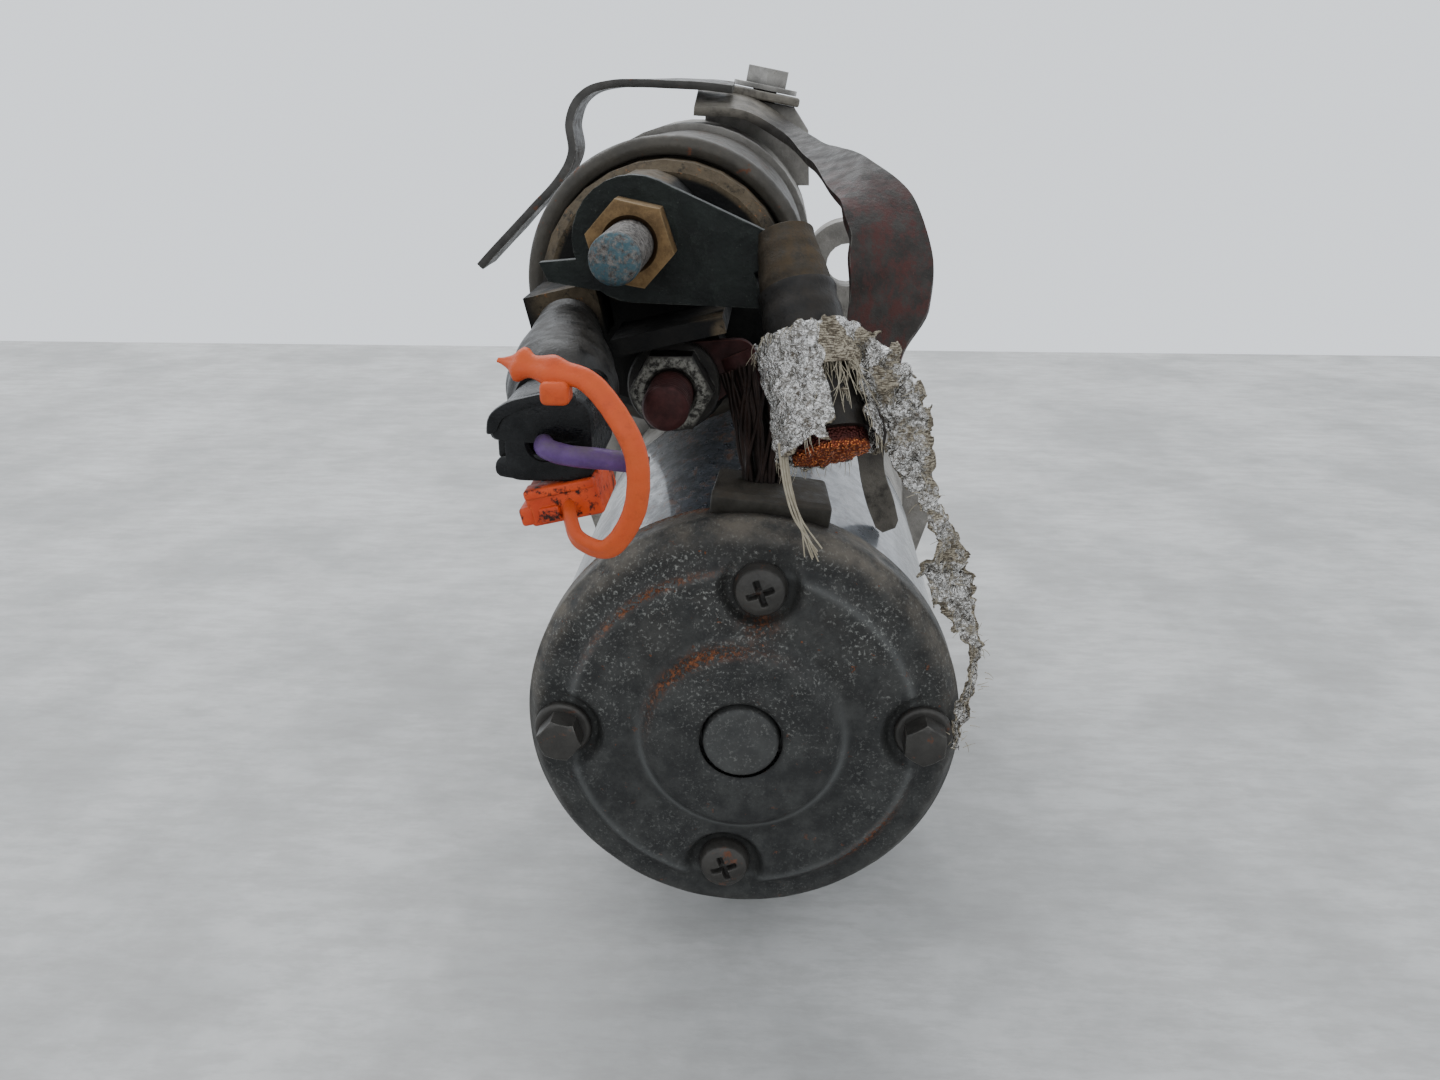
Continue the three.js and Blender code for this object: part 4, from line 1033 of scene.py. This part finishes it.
def on_solenoid(points, height=SOLENOID_HEIGHT):
    """Points round an axis at the height above the shaft, leaned with the solenoid."""
    return [leaned((p[0], p[1], p[2] + height)) for p in points]


def solenoid_case():
    """The steel can, with its rolled lip and the groove behind it."""
    sides = 160
    outer = rounded([
        (24.9, 58), (24.5, 51.8), (24.2, 50.2), (26.4, 49.6), (28, 50.8), (28, 53.6), (27.1, 54.9),
        (27.05, 100), (27.05, 104.6), (25.8, 106), (10.4, 106),
    ], 0.9, 5)
    points = on_solenoid(turned(outer, sides, 0.05))
    new_piece("solenoid_case_look", points, tube_faces(points, sides), "solenoid_steel", ["solenoid_case"],
              slot="dark_steel")


def thread(radius, low, high, tip, sides, pitch=1.25, depth=0.34, rings_per_turn=10):
    """Rings of a helical thread from low to high, with a chamfered tip."""
    points = []
    levels = [low, *np.linspace(low + 0.01, low + 1.0, 6),
              *np.arange(low + 1.1, high, pitch / rings_per_turn)]
    for i, y in enumerate(levels):
        for j in range(sides):
            angle = j * TURN / sides
            phase = (y / pitch + j / sides) % 1
            ridge = radius - depth * abs(2 * phase - 1) ** 1.2
            size = min(ridge, tip + (y - low) * (radius - tip) / 0.9)
            size = 0.02 if i == 0 else size
            points.append((size * math.cos(angle), y, size * math.sin(angle)))
    return points


def stud(name, centre, low, look, slot):
    """A threaded stud, with its plain shank and its round head inside the cap."""
    sides = 48
    points = thread(4, low, 30, 2.9, sides)
    points += rings([(3.9, 30.5), (3.9, 46.3), (6, 46.4), (6, 49), (0.02, 49)], sides)
    placed = on_solenoid(points, centre[2])
    ys = np.array(points)[:, 1]
    masks = {"marked": 1 - smooth(ys, low + 0.6, low + 3.6)}
    new_piece(name + "_look", placed, tube_faces(points, sides), look, [name], slot=slot, masks=masks,
              sharp=80)


def nut(name, centre, low, high, look, slot, turn, flange=None):
    """A hexagon nut with chamfered corners and an open thread hole."""
    sides = 96
    flats = 6.5
    bore = 4.05
    points = rings([(bore, high), (bore, low + 0.7), (4.7, low), (6.15, low)], sides)
    points += hexagon(flats, low + 0.12, high, 3.4, (0, 0.25, 0.6, 1), sides)
    if flange:
        points += rings([(flats * 1.02, high - 1.1), (flange - 0.3, high - 0.9), (flange, high - 0.5),
                         (flange, high + 0.9)], sides)
    placed = on_solenoid(moved(points, (0, 0, 0), turn), centre[2])
    x, y, z = np.array(points).T
    masks = {"worn": (y < low + 0.05) & (np.hypot(x, z) > 4.5)}
    new_piece(name + "_look", placed, tube_faces(points, sides), look, [name], slot=slot, masks=masks,
              sharp=30)


def band_piece(name, stations, thickness, look, node, masks=None, slot=None, count=120):
    """A bent strip of sheet metal through stations of (middle, half width), with soft edges."""
    middles = smooth_path([m for m, _ in stations], count)
    station_at = np.linspace(0, 1, len(stations))
    lengths = np.cumsum([0] + [(Vector(b[0]) - Vector(a[0])).length for a, b in zip(stations, stations[1:])])
    halves = []
    for share in np.linspace(0, lengths[-1], count):
        where = np.interp(share, lengths, station_at) * (len(stations) - 1)
        i = min(int(where), len(stations) - 2)
        ease = smooth(where - i, 0, 1)
        halves.append(Vector(stations[i][1]).lerp(Vector(stations[i + 1][1]), float(ease)))
    half = thickness / 2
    face = [-0.97, *np.linspace(-0.8, 0.8, 9), 0.97]
    section = [(-1, 0.0), *[(u, -half) for u in face], (1, 0.0), *[(u, half) for u in face[::-1]]]
    points = []
    for i, (middle, across) in enumerate(zip(middles, halves)):
        way = (middles[min(i + 1, count - 1)] - middles[max(i - 1, 0)]).normalized()
        normal = way.cross(across).normalized()
        for u, v in section:
            point = middle + across * u + normal * v
            points.append(point + normal * 0.12 * rough(point, 6))
    made = masks(np.array([list(p) for p in points])) if masks else None
    new_piece(name, points, capped(count, len(section)), look, [node], masks=made, slot=slot)


RIGHT_BAND = [
    ((-15.5, 117, 104), (0, 8.7, 2.2)),
    ((-4, 117, 102.8), (0, 8.7, 1.8)),
    ((5.6, 113, 97.6), (0.2, 8.7, 1.4)),
    ((12.5, 84, 93.6), (1.1, 8, 1.7)),
    ((19.4, 59, 90), (3.3, 6.5, 3.2)),
    ((24.2, 48, 84.5), (6.5, 4, 2.2)),
    ((25.8, 41, 76.5), (8, 1, 0)),
    ((25.4, 37, 68.8), (7.4, -1, 0.2)),
    ((23, 33, 60.2), (4.9, -0.5, 0)),
    ((22.4, 30, 50), (3.4, 0, 0)),
    ((23, 28.4, 41), (2.3, 0, 0.3)),
    ((24.9, 28, 34.5), (2.5, 0, 0.6)),
    ((26.2, 28, 30.6), (2.2, 0, 0.8)),
    ((26.7, 28, 29.2), (1.2, 0, 0.5)),
]
LEFT_BAND = [
    ((-6.6, 117, 107), (0, 5.6, 0.5)),
    ((-15.8, 116.4, 107.8), (0, 6.5, 0.3)),
    ((-34, 113, 107.8), (0, 7, 0)),
    ((-41, 110.6, 105.2), (0, 7, 0)),
    ((-43.5, 108, 99.5), (0, 7, 0)),
    ((-42.8, 106, 93), (0, 7, 0)),
    ((-46, 104, 87), (0, 7, 0)),
    ((-53, 102, 79.8), (0, 7, 0)),
    ((-64.4, 100, 68.2), (0, 7, 0)),
]


def brackets():
    """The two loom brackets, the foot of the right one and the bolt that holds both."""
    def dirt(points):
        height = points[:, 2]
        rust = smooth(-height, -96, -84) * smooth(height, 45, 60)
        return {"rust": rust, "dusty": smooth(height, 98.5, 102.5) + 0.8 * smooth(-height, -46, -38)}

    band_piece("bracket_right_band", RIGHT_BAND, 2, "band_steel", "bracket_right", dirt, "dark_steel")
    band_piece("bracket_left_band", LEFT_BAND, 1.8, "dark_steel", "bracket_left")
    foot, faces = box_shape([(-9, 9), (-12.4, 9), (0.3, 2.3)], 0.5)
    foot = moved(foot, (0, 136, 103.8), math.radians(11))
    new_piece("bracket_right_foot", foot, faces, "band_steel", slot="dark_steel",
              masks={"dusty": [1.0] * len(foot)})
    refined("bracket_bolt", "bright_steel", 0.4)


# ---- Cable, sleeves and leads ----


def cable_tube(name, start, end, rows, radius, look, node):
    """A tube along the battery cable between two distances from its lug."""
    sides = 48
    path = [cable_point(d) for d in np.linspace(start, end, rows)]
    new_piece(name, tube_points(path, radius, sides), capped(rows, sides), look, [node])


def lug_sleeve_and_cable():
    """The tan sleeve over the crimp, and the black jacket that comes out of it."""
    def tan(share, angle, point):
        shoulder = 5.0 + 1.0 * smooth(share, 0.1, 0.85)
        start = 1 - 0.5 * (1 - smooth(share, 0, 0.09)) ** 2
        return shoulder * start + 0.25 * rough(point, 2.5) + 0.35 * spread(share, 0.96, 0.05)

    def black(share, angle, point):
        end = 0.5 * smooth(share, 0, 0.25) + 0.35 * spread(share, 0.02, 0.03)
        return 6.3 + end + 0.18 * rough(point, 2.2)

    cable_tube("lug_sleeve_look", -2.6, 9.6, 44, tan, "tan_sleeve", "lug_sleeve")
    cable_tube("battery_cable_jacket", 8.6, 34.4, 46, black, "cable_rubber", "battery_cable")


def copper_end():
    """The cut strands: flattened, with a rough end face, and maroon where they leave the jacket."""
    rows = 30
    side_rows = 21
    sides = 72
    points = []
    old = []
    side, up = frames_along([cable_point(0), cable_point(1)], (1, 0, 0))[0]
    for i in range(rows):
        on_side = i < side_rows
        depth = 33.5 + 4 * min(1, i / side_rows)
        shrink = 1 if on_side else 1 - (i - side_rows) / 8
        for angle in around(sides):
            radius = (5.9 + 0.25 * math.sin(angle * 17)) * max(shrink, 0.003)
            point = cable_point(depth) + side * radius * math.cos(angle) * 1.04
            point += up * radius * math.sin(angle) * 0.9
            points.append(point + CABLE_WAY * 0.45 * rough(point, 0.8) * (i >= side_rows))
            old.append(float(1 - smooth(depth, 36.2, 37.1)) if on_side else 0.0)
    new_piece("battery_cable_copper", points, capped(rows, sides), "bare_copper", slot="copper", sharp=60,
              masks={"old": old})


def foil_wrap():
    """The heat sleeve round the cable: a crinkled tube, torn open at the front, ragged at both ends.

    Returns the points of its torn edges.
    """
    rows = 110
    sides = 220
    path = [cable_point(d) for d in np.linspace(16.6, 37.4, rows)]
    front = Vector((0.22, -0.84, 0.5))
    front_way = (front - CABLE_WAY * front.dot(CABLE_WAY)).normalized()
    side_way = front_way.cross(CABLE_WAY)
    keep, points, torn = {}, [], []
    for i, (point, (side, up)) in enumerate(zip(path, frames_along(path, (1, 0, 0)))):
        share = i / (rows - 1)
        for j, angle in enumerate(around(sides)):
            way = side * math.cos(angle) + up * math.sin(angle)
            flat = point + way * 9
            size = 8.3 + 0.9 * rough(flat, 5) + 0.6 * rough(flat, 2.1, 1) + 0.3 * rough(flat, 0.8, 2)
            size += 0.5 * smooth(share, 0.5, 0.0) + 0.4 * smooth(share, 0.6, 1.0)
            points.append(point + way * size)
            off_window = abs(way.dot(side_way) - 0.24) + 0.22 * rough(flat, 3, 3)
            off_window += 0.25 * smooth(share, 0.25, 0.05)
            window = (1 - smooth(off_window, 0.3, 0.48)) * smooth(way.dot(front_way), 0.3, 0.6)
            torn.append(max(window, 0.8 * smooth(share, 0.93, 0.99), 0.55 * (1 - smooth(share, 0.01, 0.07))))
            lower = 0.97 + 0.08 * rough(flat, 2, 4) - 0.1 * window
            upper = 0.03 + 0.07 * rough(flat, 1.6, 5)
            hole = window > 0.75 + 0.5 * rough(flat, 2.4, 6) and share > 0.4
            keep[i * sides + j] = upper < share < lower and not hole
    faces = [f for f in grid_faces(rows, sides, True) if all(keep[v] for v in f)]
    piece = new_piece("heat_sleeve_wrap", points, faces, "heat_foil", ["heat_sleeve"], masks={"torn": torn},
                      sharp=180)
    thicken(piece, 0.35)
    return [p for i, p in enumerate(points) if keep[i] and sides < i < len(points) - sides
            and not (keep[i + sides] and keep[i - sides])]


def thicken(piece, thickness):
    solid = piece.modifiers.new("thickness", "SOLIDIFY")
    solid.thickness = thickness / 1000
    solid.offset = 0


def foil_tail():
    """The torn strip of the sleeve that hangs down to the right bolt, and the wad halfway along it.

    Its stations give the middle, the half width and the turn in degrees. Returns its middle line.
    """
    stations = [
        ((16.5, 6, 69.5), 3.4, 20),
        ((21.4, 4, 66), 5.0, 30),
        ((24.8, 2.5, 59.5), 5.2, 40),
        ((27.4, 2, 51.5), 4.6, 60),
        ((30.6, 1.5, 43.5), 2.4, 100),
        ((33.6, 1.5, 37.5), 1.8, 130),
        ((34.4, 1.4, 30), 5.8, 160),
        ((37.4, 1.4, 24), 5.0, 200),
        ((40.2, 1.5, 17), 2.2, 240),
        ((40, 1.4, 11), 1.5, 300),
        ((38.6, 1.0, 4), 2.2, 330),
        ((37.6, 0.2, -2.5), 1.3, 350),
    ]
    rows = 260
    columns = 42
    middles, half_widths, degrees = zip(*stations)
    middle = smooth_path(middles, rows)
    places = np.linspace(0, len(stations) - 1, rows)
    widths = np.interp(places, range(len(stations)), half_widths)
    turns = np.radians(np.interp(places, range(len(stations)), degrees)) * 0.35
    points, keep, torn = [], {}, []
    for i, centre in enumerate(middle):
        way = (middle[min(i + 1, rows - 1)] - middle[max(i - 1, 0)]).normalized()
        across = way.cross(Vector((0, 1, 0))).normalized()
        depth = way.cross(across)
        for j in range(columns):
            u = 2 * j / (columns - 1) - 1
            curl = turns[i] + 0.9 * u
            offset = across * widths[i] * math.sin(u * 1.35) * math.cos(turns[i] * 0.5)
            offset += depth * widths[i] * (0.55 * math.cos(curl * 1.6) - 0.3)
            point = centre + offset * 0.9
            crumple = Vector([rough(point, 2.6, seed) for seed in (1, 2, 3)]) * 1.3
            crumple += Vector([rough(point, 1.0, seed) for seed in (4, 5, 6)]) * 0.55
            points.append(point + crumple * (0.5 + 0.16 * widths[i]))
            ragged = 0.82 + 0.5 * rough(point, 1.6, 7)
            keep[i * columns + j] = abs(u) < ragged and 0.004 < i / rows < 0.992
            torn.append(0.45 + 0.5 * smooth(abs(u), 0.45, 1.0) + 0.35 * rough(point, 4, 8))
    faces = [f for f in grid_faces(rows, columns) if all(keep[v] for v in f)]
    piece = new_piece("heat_sleeve_tail", points, faces, "heat_foil", masks={"torn": torn}, sharp=180)
    thicken(piece, 0.3)
    return middle


def strand_piece(name, starts, look, slot, seed, reach, droop, thin=0.13):
    """Many loose fibres joined in one mesh: each leaves its start along a way and droops."""
    random.seed(seed)
    strands = []
    for start, way in starts:
        length = reach * random.uniform(0.35, 1.0)
        drift = Vector([random.gauss(0, 0.35) for _ in range(3)])
        path, place, heading = [], Vector(start), Vector(way).normalized()
        for _ in range(9):
            path.append(place.copy())
            heading = (heading + drift * 0.22 + Vector((0, 0, -droop * 0.12))).normalized()
            place = place + heading * length / 8
        points = tube_points(path, lambda share, angle, point: thin * (1 - 0.6 * share), 5, (0.3, 0.5, 0.8))
        strands.append((points, capped(9, 5)))
    return new_piece(name, *merged(*strands), look, slot=slot, sharp=180)


def loose_fibres(edge, tail):
    """Frayed fibres along the torn edges, across the window and on the tail, and a bundle that hangs free."""
    random.seed(4)
    middle = cable_point(25)
    down = Vector((0, -0.3, -1.2))
    starts = [(p, (p - middle).normalized() + down) for p in random.sample(edge, 130)]
    strand_piece("heat_sleeve_fibres", starts, "fibre", "heat_foil", 11, 2.8, 2.2, 0.07)
    starts = []
    for _ in range(46):
        across = random.uniform(-3.4, 3.6)
        start = cable_point(random.uniform(17.5, 24))
        start += Vector((across + 3.2, -7 + 0.12 * across * across, 2.6))
        starts.append((start, CABLE_WAY + Vector((random.gauss(0, 0.25), -0.1, random.gauss(0, 0.15)))))
    strand_piece("heat_sleeve_window_fibres", starts, "fibre", "heat_foil", 13, 11, 0.5, 0.1)
    starts = []
    for centre in random.sample(tail, 120):
        way = Vector((random.gauss(0, 1), random.gauss(0, 0.5), random.gauss(0, 1)))
        starts.append((centre + way.normalized() * random.uniform(0.5, 2.2), way))
    strand_piece("heat_sleeve_tail_fibres", starts, "fibre", "heat_foil", 12, 2.6, 0.6, 0.08)
    bundle = [(6.4, -1.4, 54.4), (6.9, -2.3, 50.4), (7.7, -2.6, 46.3), (9.3, -2.4, 41.6), (12.2, -1.6, 35)]

    def radius(share, angle, point):
        return 0.24 * (1 - 0.5 * share) + 0.05 * rough(point, 1)

    for k in range(7):
        shift = Vector((random.gauss(0, 0.3), random.gauss(0, 0.3), 0))
        ends = Vector((random.gauss(0, 1.1), 0, random.gauss(0, 0.8)))
        route = [Vector(p) + shift for p in bundle[:-1]] + [Vector(bundle[-1]) + ends]
        tube_piece(f"heat_sleeve_thread_{k + 1}", route, radius, "fibre", 36, 7, slot="heat_foil")


def brush_lead():
    """The terminal strap, and a braid of copper strands that runs down into the grommet."""
    strap = refined("brush_lead", "copper", 0.3)
    shape = bmesh.new()
    shape.from_mesh(strap.data)
    whole = [*shape.verts, *shape.edges, *shape.faces]
    strap_end = row((0, 0, 54.5))
    bmesh.ops.bisect_plane(shape, geom=whole, plane_co=strap_end, plane_no=(0, 0, 1), clear_inner=True)
    shape.to_mesh(strap.data)
    shape.free()
    route = [(-1.2, 24.6, 60.5), (0.3, 23.4, 56.5), (1.6, 20.8, 52), (2.6, 18.4, 46.5), (3.4, 17, 41),
             (3.4, 16.6, 35)]
    count = 110
    strands = 26
    strand_sides = 6
    core_sides = 12
    path = smooth_path(route, count)
    frames = frames_along(path, (1, 0, 0))
    braid = []
    for k in range(strands):
        line = []
        for i, (point, (side, up)) in enumerate(zip(path, frames)):
            angle = i * 0.016 + k * TURN / strands + 0.25 * math.sin(i * 0.06 + k * 2.4)
            wide = 3.4 + 0.5 * math.sin(i * 0.05 + k)
            line.append(point + side * wide * math.cos(angle) + up * 1.6 * math.sin(angle))
        braid.append((tube_points(line, 0.44, strand_sides, (0.2, 0.9, 0.1)), capped(count, strand_sides)))
    braid.append((tube_points(path, 1.6, core_sides), capped(count, core_sides)))
    new_piece("brush_lead_braid", *merged(*braid), "braid", slot="copper", sharp=80)


# ---- Connector ----


def signal_boot():
    """A ribbed rubber boot from the solenoid's blade to the connector."""
    route = [(-31.5, 22, 67.5), (-29.6, 7, 65.7), (-27.5, -8, 63.7), (-26.8, -13.8, 62.9)]

    def radius(share, angle, point):
        rib = 0.35 * (spread(share, 0.13, 0.02) + spread(share, 0.2, 0.02) + spread(share, 0.8, 0.03))
        end = 1 - 0.16 * smooth(share, 0.86, 1.0) ** 2
        return (5.6 + 2.7 * smooth(share, 0.05, 0.7)) * end + rib + 0.12 * rough(point, 3)

    tube_piece("signal_boot_look", route, radius, "boot_rubber", 66, 56, nodes=["signal_boot"])


def connector():
    """A housing with an arched hood, a slot for the latch at its left, and a round mouth for the wire."""
    hood = [(-34, 62.2), (-33.5, 65.4), (-31, 67.3), (-26, 68.7), (-21.6, 68.6), (-19.5, 66.8), (-19.4, 62.2),
            (-22, 61.5), (-30.8, 61.8)]
    sides = 96
    centre = Vector((-26.3, 0, 61.9))
    face = [centre + Vector(p) for p in rings([(2.1, -25), (2.2, -29.2), (2.7, -29.8)], sides)]
    for inset, y in ((0.5, -29.8), (0.15, -29.6), (0, -29.1), (0, -10.6), (1.5, -10.5)):
        for a in around(sides):
            wide = (6.7 if math.cos(a) > 0 else 5.6) - inset
            tall = 5.6 - inset
            reach = (abs(math.cos(a) / wide) ** 7 + abs(math.sin(a) / tall) ** 7) ** (-1 / 7)
            face.append(centre + Vector((reach * math.cos(a), y, reach * math.sin(a))))
    body = (face, tube_faces(face, sides))
    lower = prism([(-33.5, 56.9), (-33.3, 59.5), (-30, 60.3), (-20, 60.3), (-19.5, 58), (-20.5, 56.3),
                   (-29, 56.3)], -29.6, -11)
    rim = prism([(-33.2, 63.2), (-32.4, 65.2), (-30, 66.5), (-26, 67.6), (-22, 67.6), (-21, 67.2),
                 (-22, 68.9), (-26, 69), (-31.2, 67.7), (-33.9, 65.8), (-34.2, 63)], -30.2, -28.4, 0.3)
    latch = box_shape([(-33, -31.4), (-28.6, -14), (59.4, 62.4)], 0.4)
    whole = merged(prism(hood, -29.9, -11, 0.7), body, lower, rim, latch)
    new_piece("signal_connector_look", *whole, "black_plastic", ["signal_connector"], sharp=35)


TETHER = [
    (-23.3, -29, 52.6), (-22.6, -32.5, 51.8), (-21, -35, 49.8), (-16.8, -36.4, 49.3), (-13.2, -37, 54.9),
    (-12.7, -37, 61.9), (-15, -36.2, 67.2), (-19, -34, 71.4), (-23.3, -32.4, 72.4), (-32.1, -29, 73.2),
]


def connector_lock():
    """The orange lock under the connector, and its strap with a barbed tab."""
    count, sides = 120, 20
    path = smooth_path(TETHER, count)

    def radius(share, angle, point):
        flat = 1 + 0.3 * math.cos(2 * angle)
        lump = 0.5 * spread(share, 0.84, 0.03) + 0.8 * spread(share, 0.93, 0.02)
        tip = 1 - 0.75 * smooth(share, 0.925, 1.0)
        return (1.22 + lump) * flat * tip + 0.07 * rough(point, 1.5)

    tether = (tube_points(path, radius, sides), capped(count, sides))
    points, faces = merged(
        box_shape([(-5.3, 5.3), (-30, -17), (-2.5, 2.7)], 0.6, 4),
        box_shape([(-6.6, -4.6), (-30.2, -22), (-2.1, 0.6)], 0.5),
        box_shape([(-3.6, -0.6), (-30.8, -20), (-1.9, 0.2)], 0.4),
        box_shape([(-5.2, 5), (-30.5, -27), (1.6, 3)], 0.4),
    )
    block = (moved(points, (-23.9, 0, 53.2), math.radians(-13)), faces)
    blob = box_shape([(-25.6, -21.6), (-35.2, -31.4), (68.4, 71.6)], 0.9, 4)
    points, faces = merged(tether, blob, block)
    on_block = np.arange(len(points)) >= len(tether[0]) + len(blob[0])
    masks = {"faded": np.where(on_block, 0.0, 0.9), "grease": np.where(on_block, 1.0, 0.12)}
    new_piece("connector_lock_look", points, faces, "orange_plastic", ["connector_lock"], masks=masks)


def signal_wire():
    """The purple wire, cut short, and the copper at its end."""
    route = [(-26.3, -22, 61.9), (-26.3, -28.6, 61.9), (-25.6, -31.6, 61.7), (-22.5, -33, 61.2),
             (-17.6, -32.6, 60.6), (-12.2, -32, 59.8)]

    def radius(share, angle, point):
        return 1.45 + 0.1 * rough(point, 2.2)

    tube_piece("signal_wire_look", route, radius, "purple_plastic", 60, 24, nodes=["signal_wire"])
    end = [Vector((-12.6, -32.05, 59.87)), Vector((-11.7, -31.95, 59.75))]
    sides = 20
    new_piece("signal_wire_strands", tube_points(end, 1.1, sides), capped(2, sides), "copper")


# ---- What keeps its CAD shape ----

KEPT = {
    "drive_housing": ("cast_aluminium", 0.9),
    "nose_bush": ("bronze", 0.3),
    "clutch": ("gear_steel", 0.4),
    "pinion": ("gear_steel", 0.3),
    "stop_collar": ("bright_steel", 0.3),
    "pivot_pin": ("bright_steel", 0.3),
    "shift_lever": ("dark_steel", 0.4),
    "ring_gear": ("gear_steel", 0.0),
    **{f"planet_gear_{k}": ("gear_steel", 0.15) for k in range(1, 4)},
    "output_shaft": ("gear_steel", 0.3),
    "armature_shaft": ("gear_steel", 0.2),
    "armature_core": ("winding", 0.3),
    "commutator": ("copper", 0.3),
    "centre_plate": ("bright_steel", 0.3),
    **{f"magnet_{k}": ("magnet", 0.4) for k in range(1, 5)},
    "rear_bearing": ("gear_steel", 0.3),
    "brush_plate": ("bright_steel", 0.3),
    **{f"brush_{k}": ("carbon", 0.3) for k in range(1, 5)},
    "solenoid_cap": ("cap_plastic", 0.6),
    "solenoid_coil": ("winding", 0.4),
    "fixed_core": ("gear_steel", 0.3),
    "solenoid_screw_left": ("bright_steel", 0.4),
    "solenoid_screw_right": ("bright_steel", 0.4),
    "signal_blade": ("brass", 0.1),
    "plunger": ("gear_steel", 0.3),
    "return_spring": ("bright_steel", 0.0),
    "contact_plate": ("copper", 0.3),
    "battery_lug": ("lug_patina", 0.45),
}


def kept_nodes():
    """Refines each of these nodes with its look and the width of its soft edges."""
    for node, (look, bevel) in KEPT.items():
        refined(node, look, bevel)


add_camera()
kept_nodes()
rear_cover()
cover_disc()
cross_screw("cover_screw_top")
cross_screw("cover_screw_bottom")
through_bolt("through_bolt_left", 0.2)
through_bolt("through_bolt_right", 0.55)
grommet()
yoke()
solenoid_case()
stud("battery_stud", BATTERY_STUD, -7, "stud_end", "bright_steel")
stud("motor_stud", MOTOR_STUD, 6, "copper", "copper")
nut("battery_nut", BATTERY_STUD, 12, 18.2, "brass", "brass", 0.436)
nut("motor_nut", MOTOR_STUD, 17, 23.4, "terminal_nut", "bright_steel", 0.226, 8.3)
brackets()
lug_sleeve_and_cable()
copper_end()
loose_fibres(foil_wrap(), foil_tail())
brush_lead()
signal_boot()
connector()
connector_lock()
signal_wire()
add_stage()
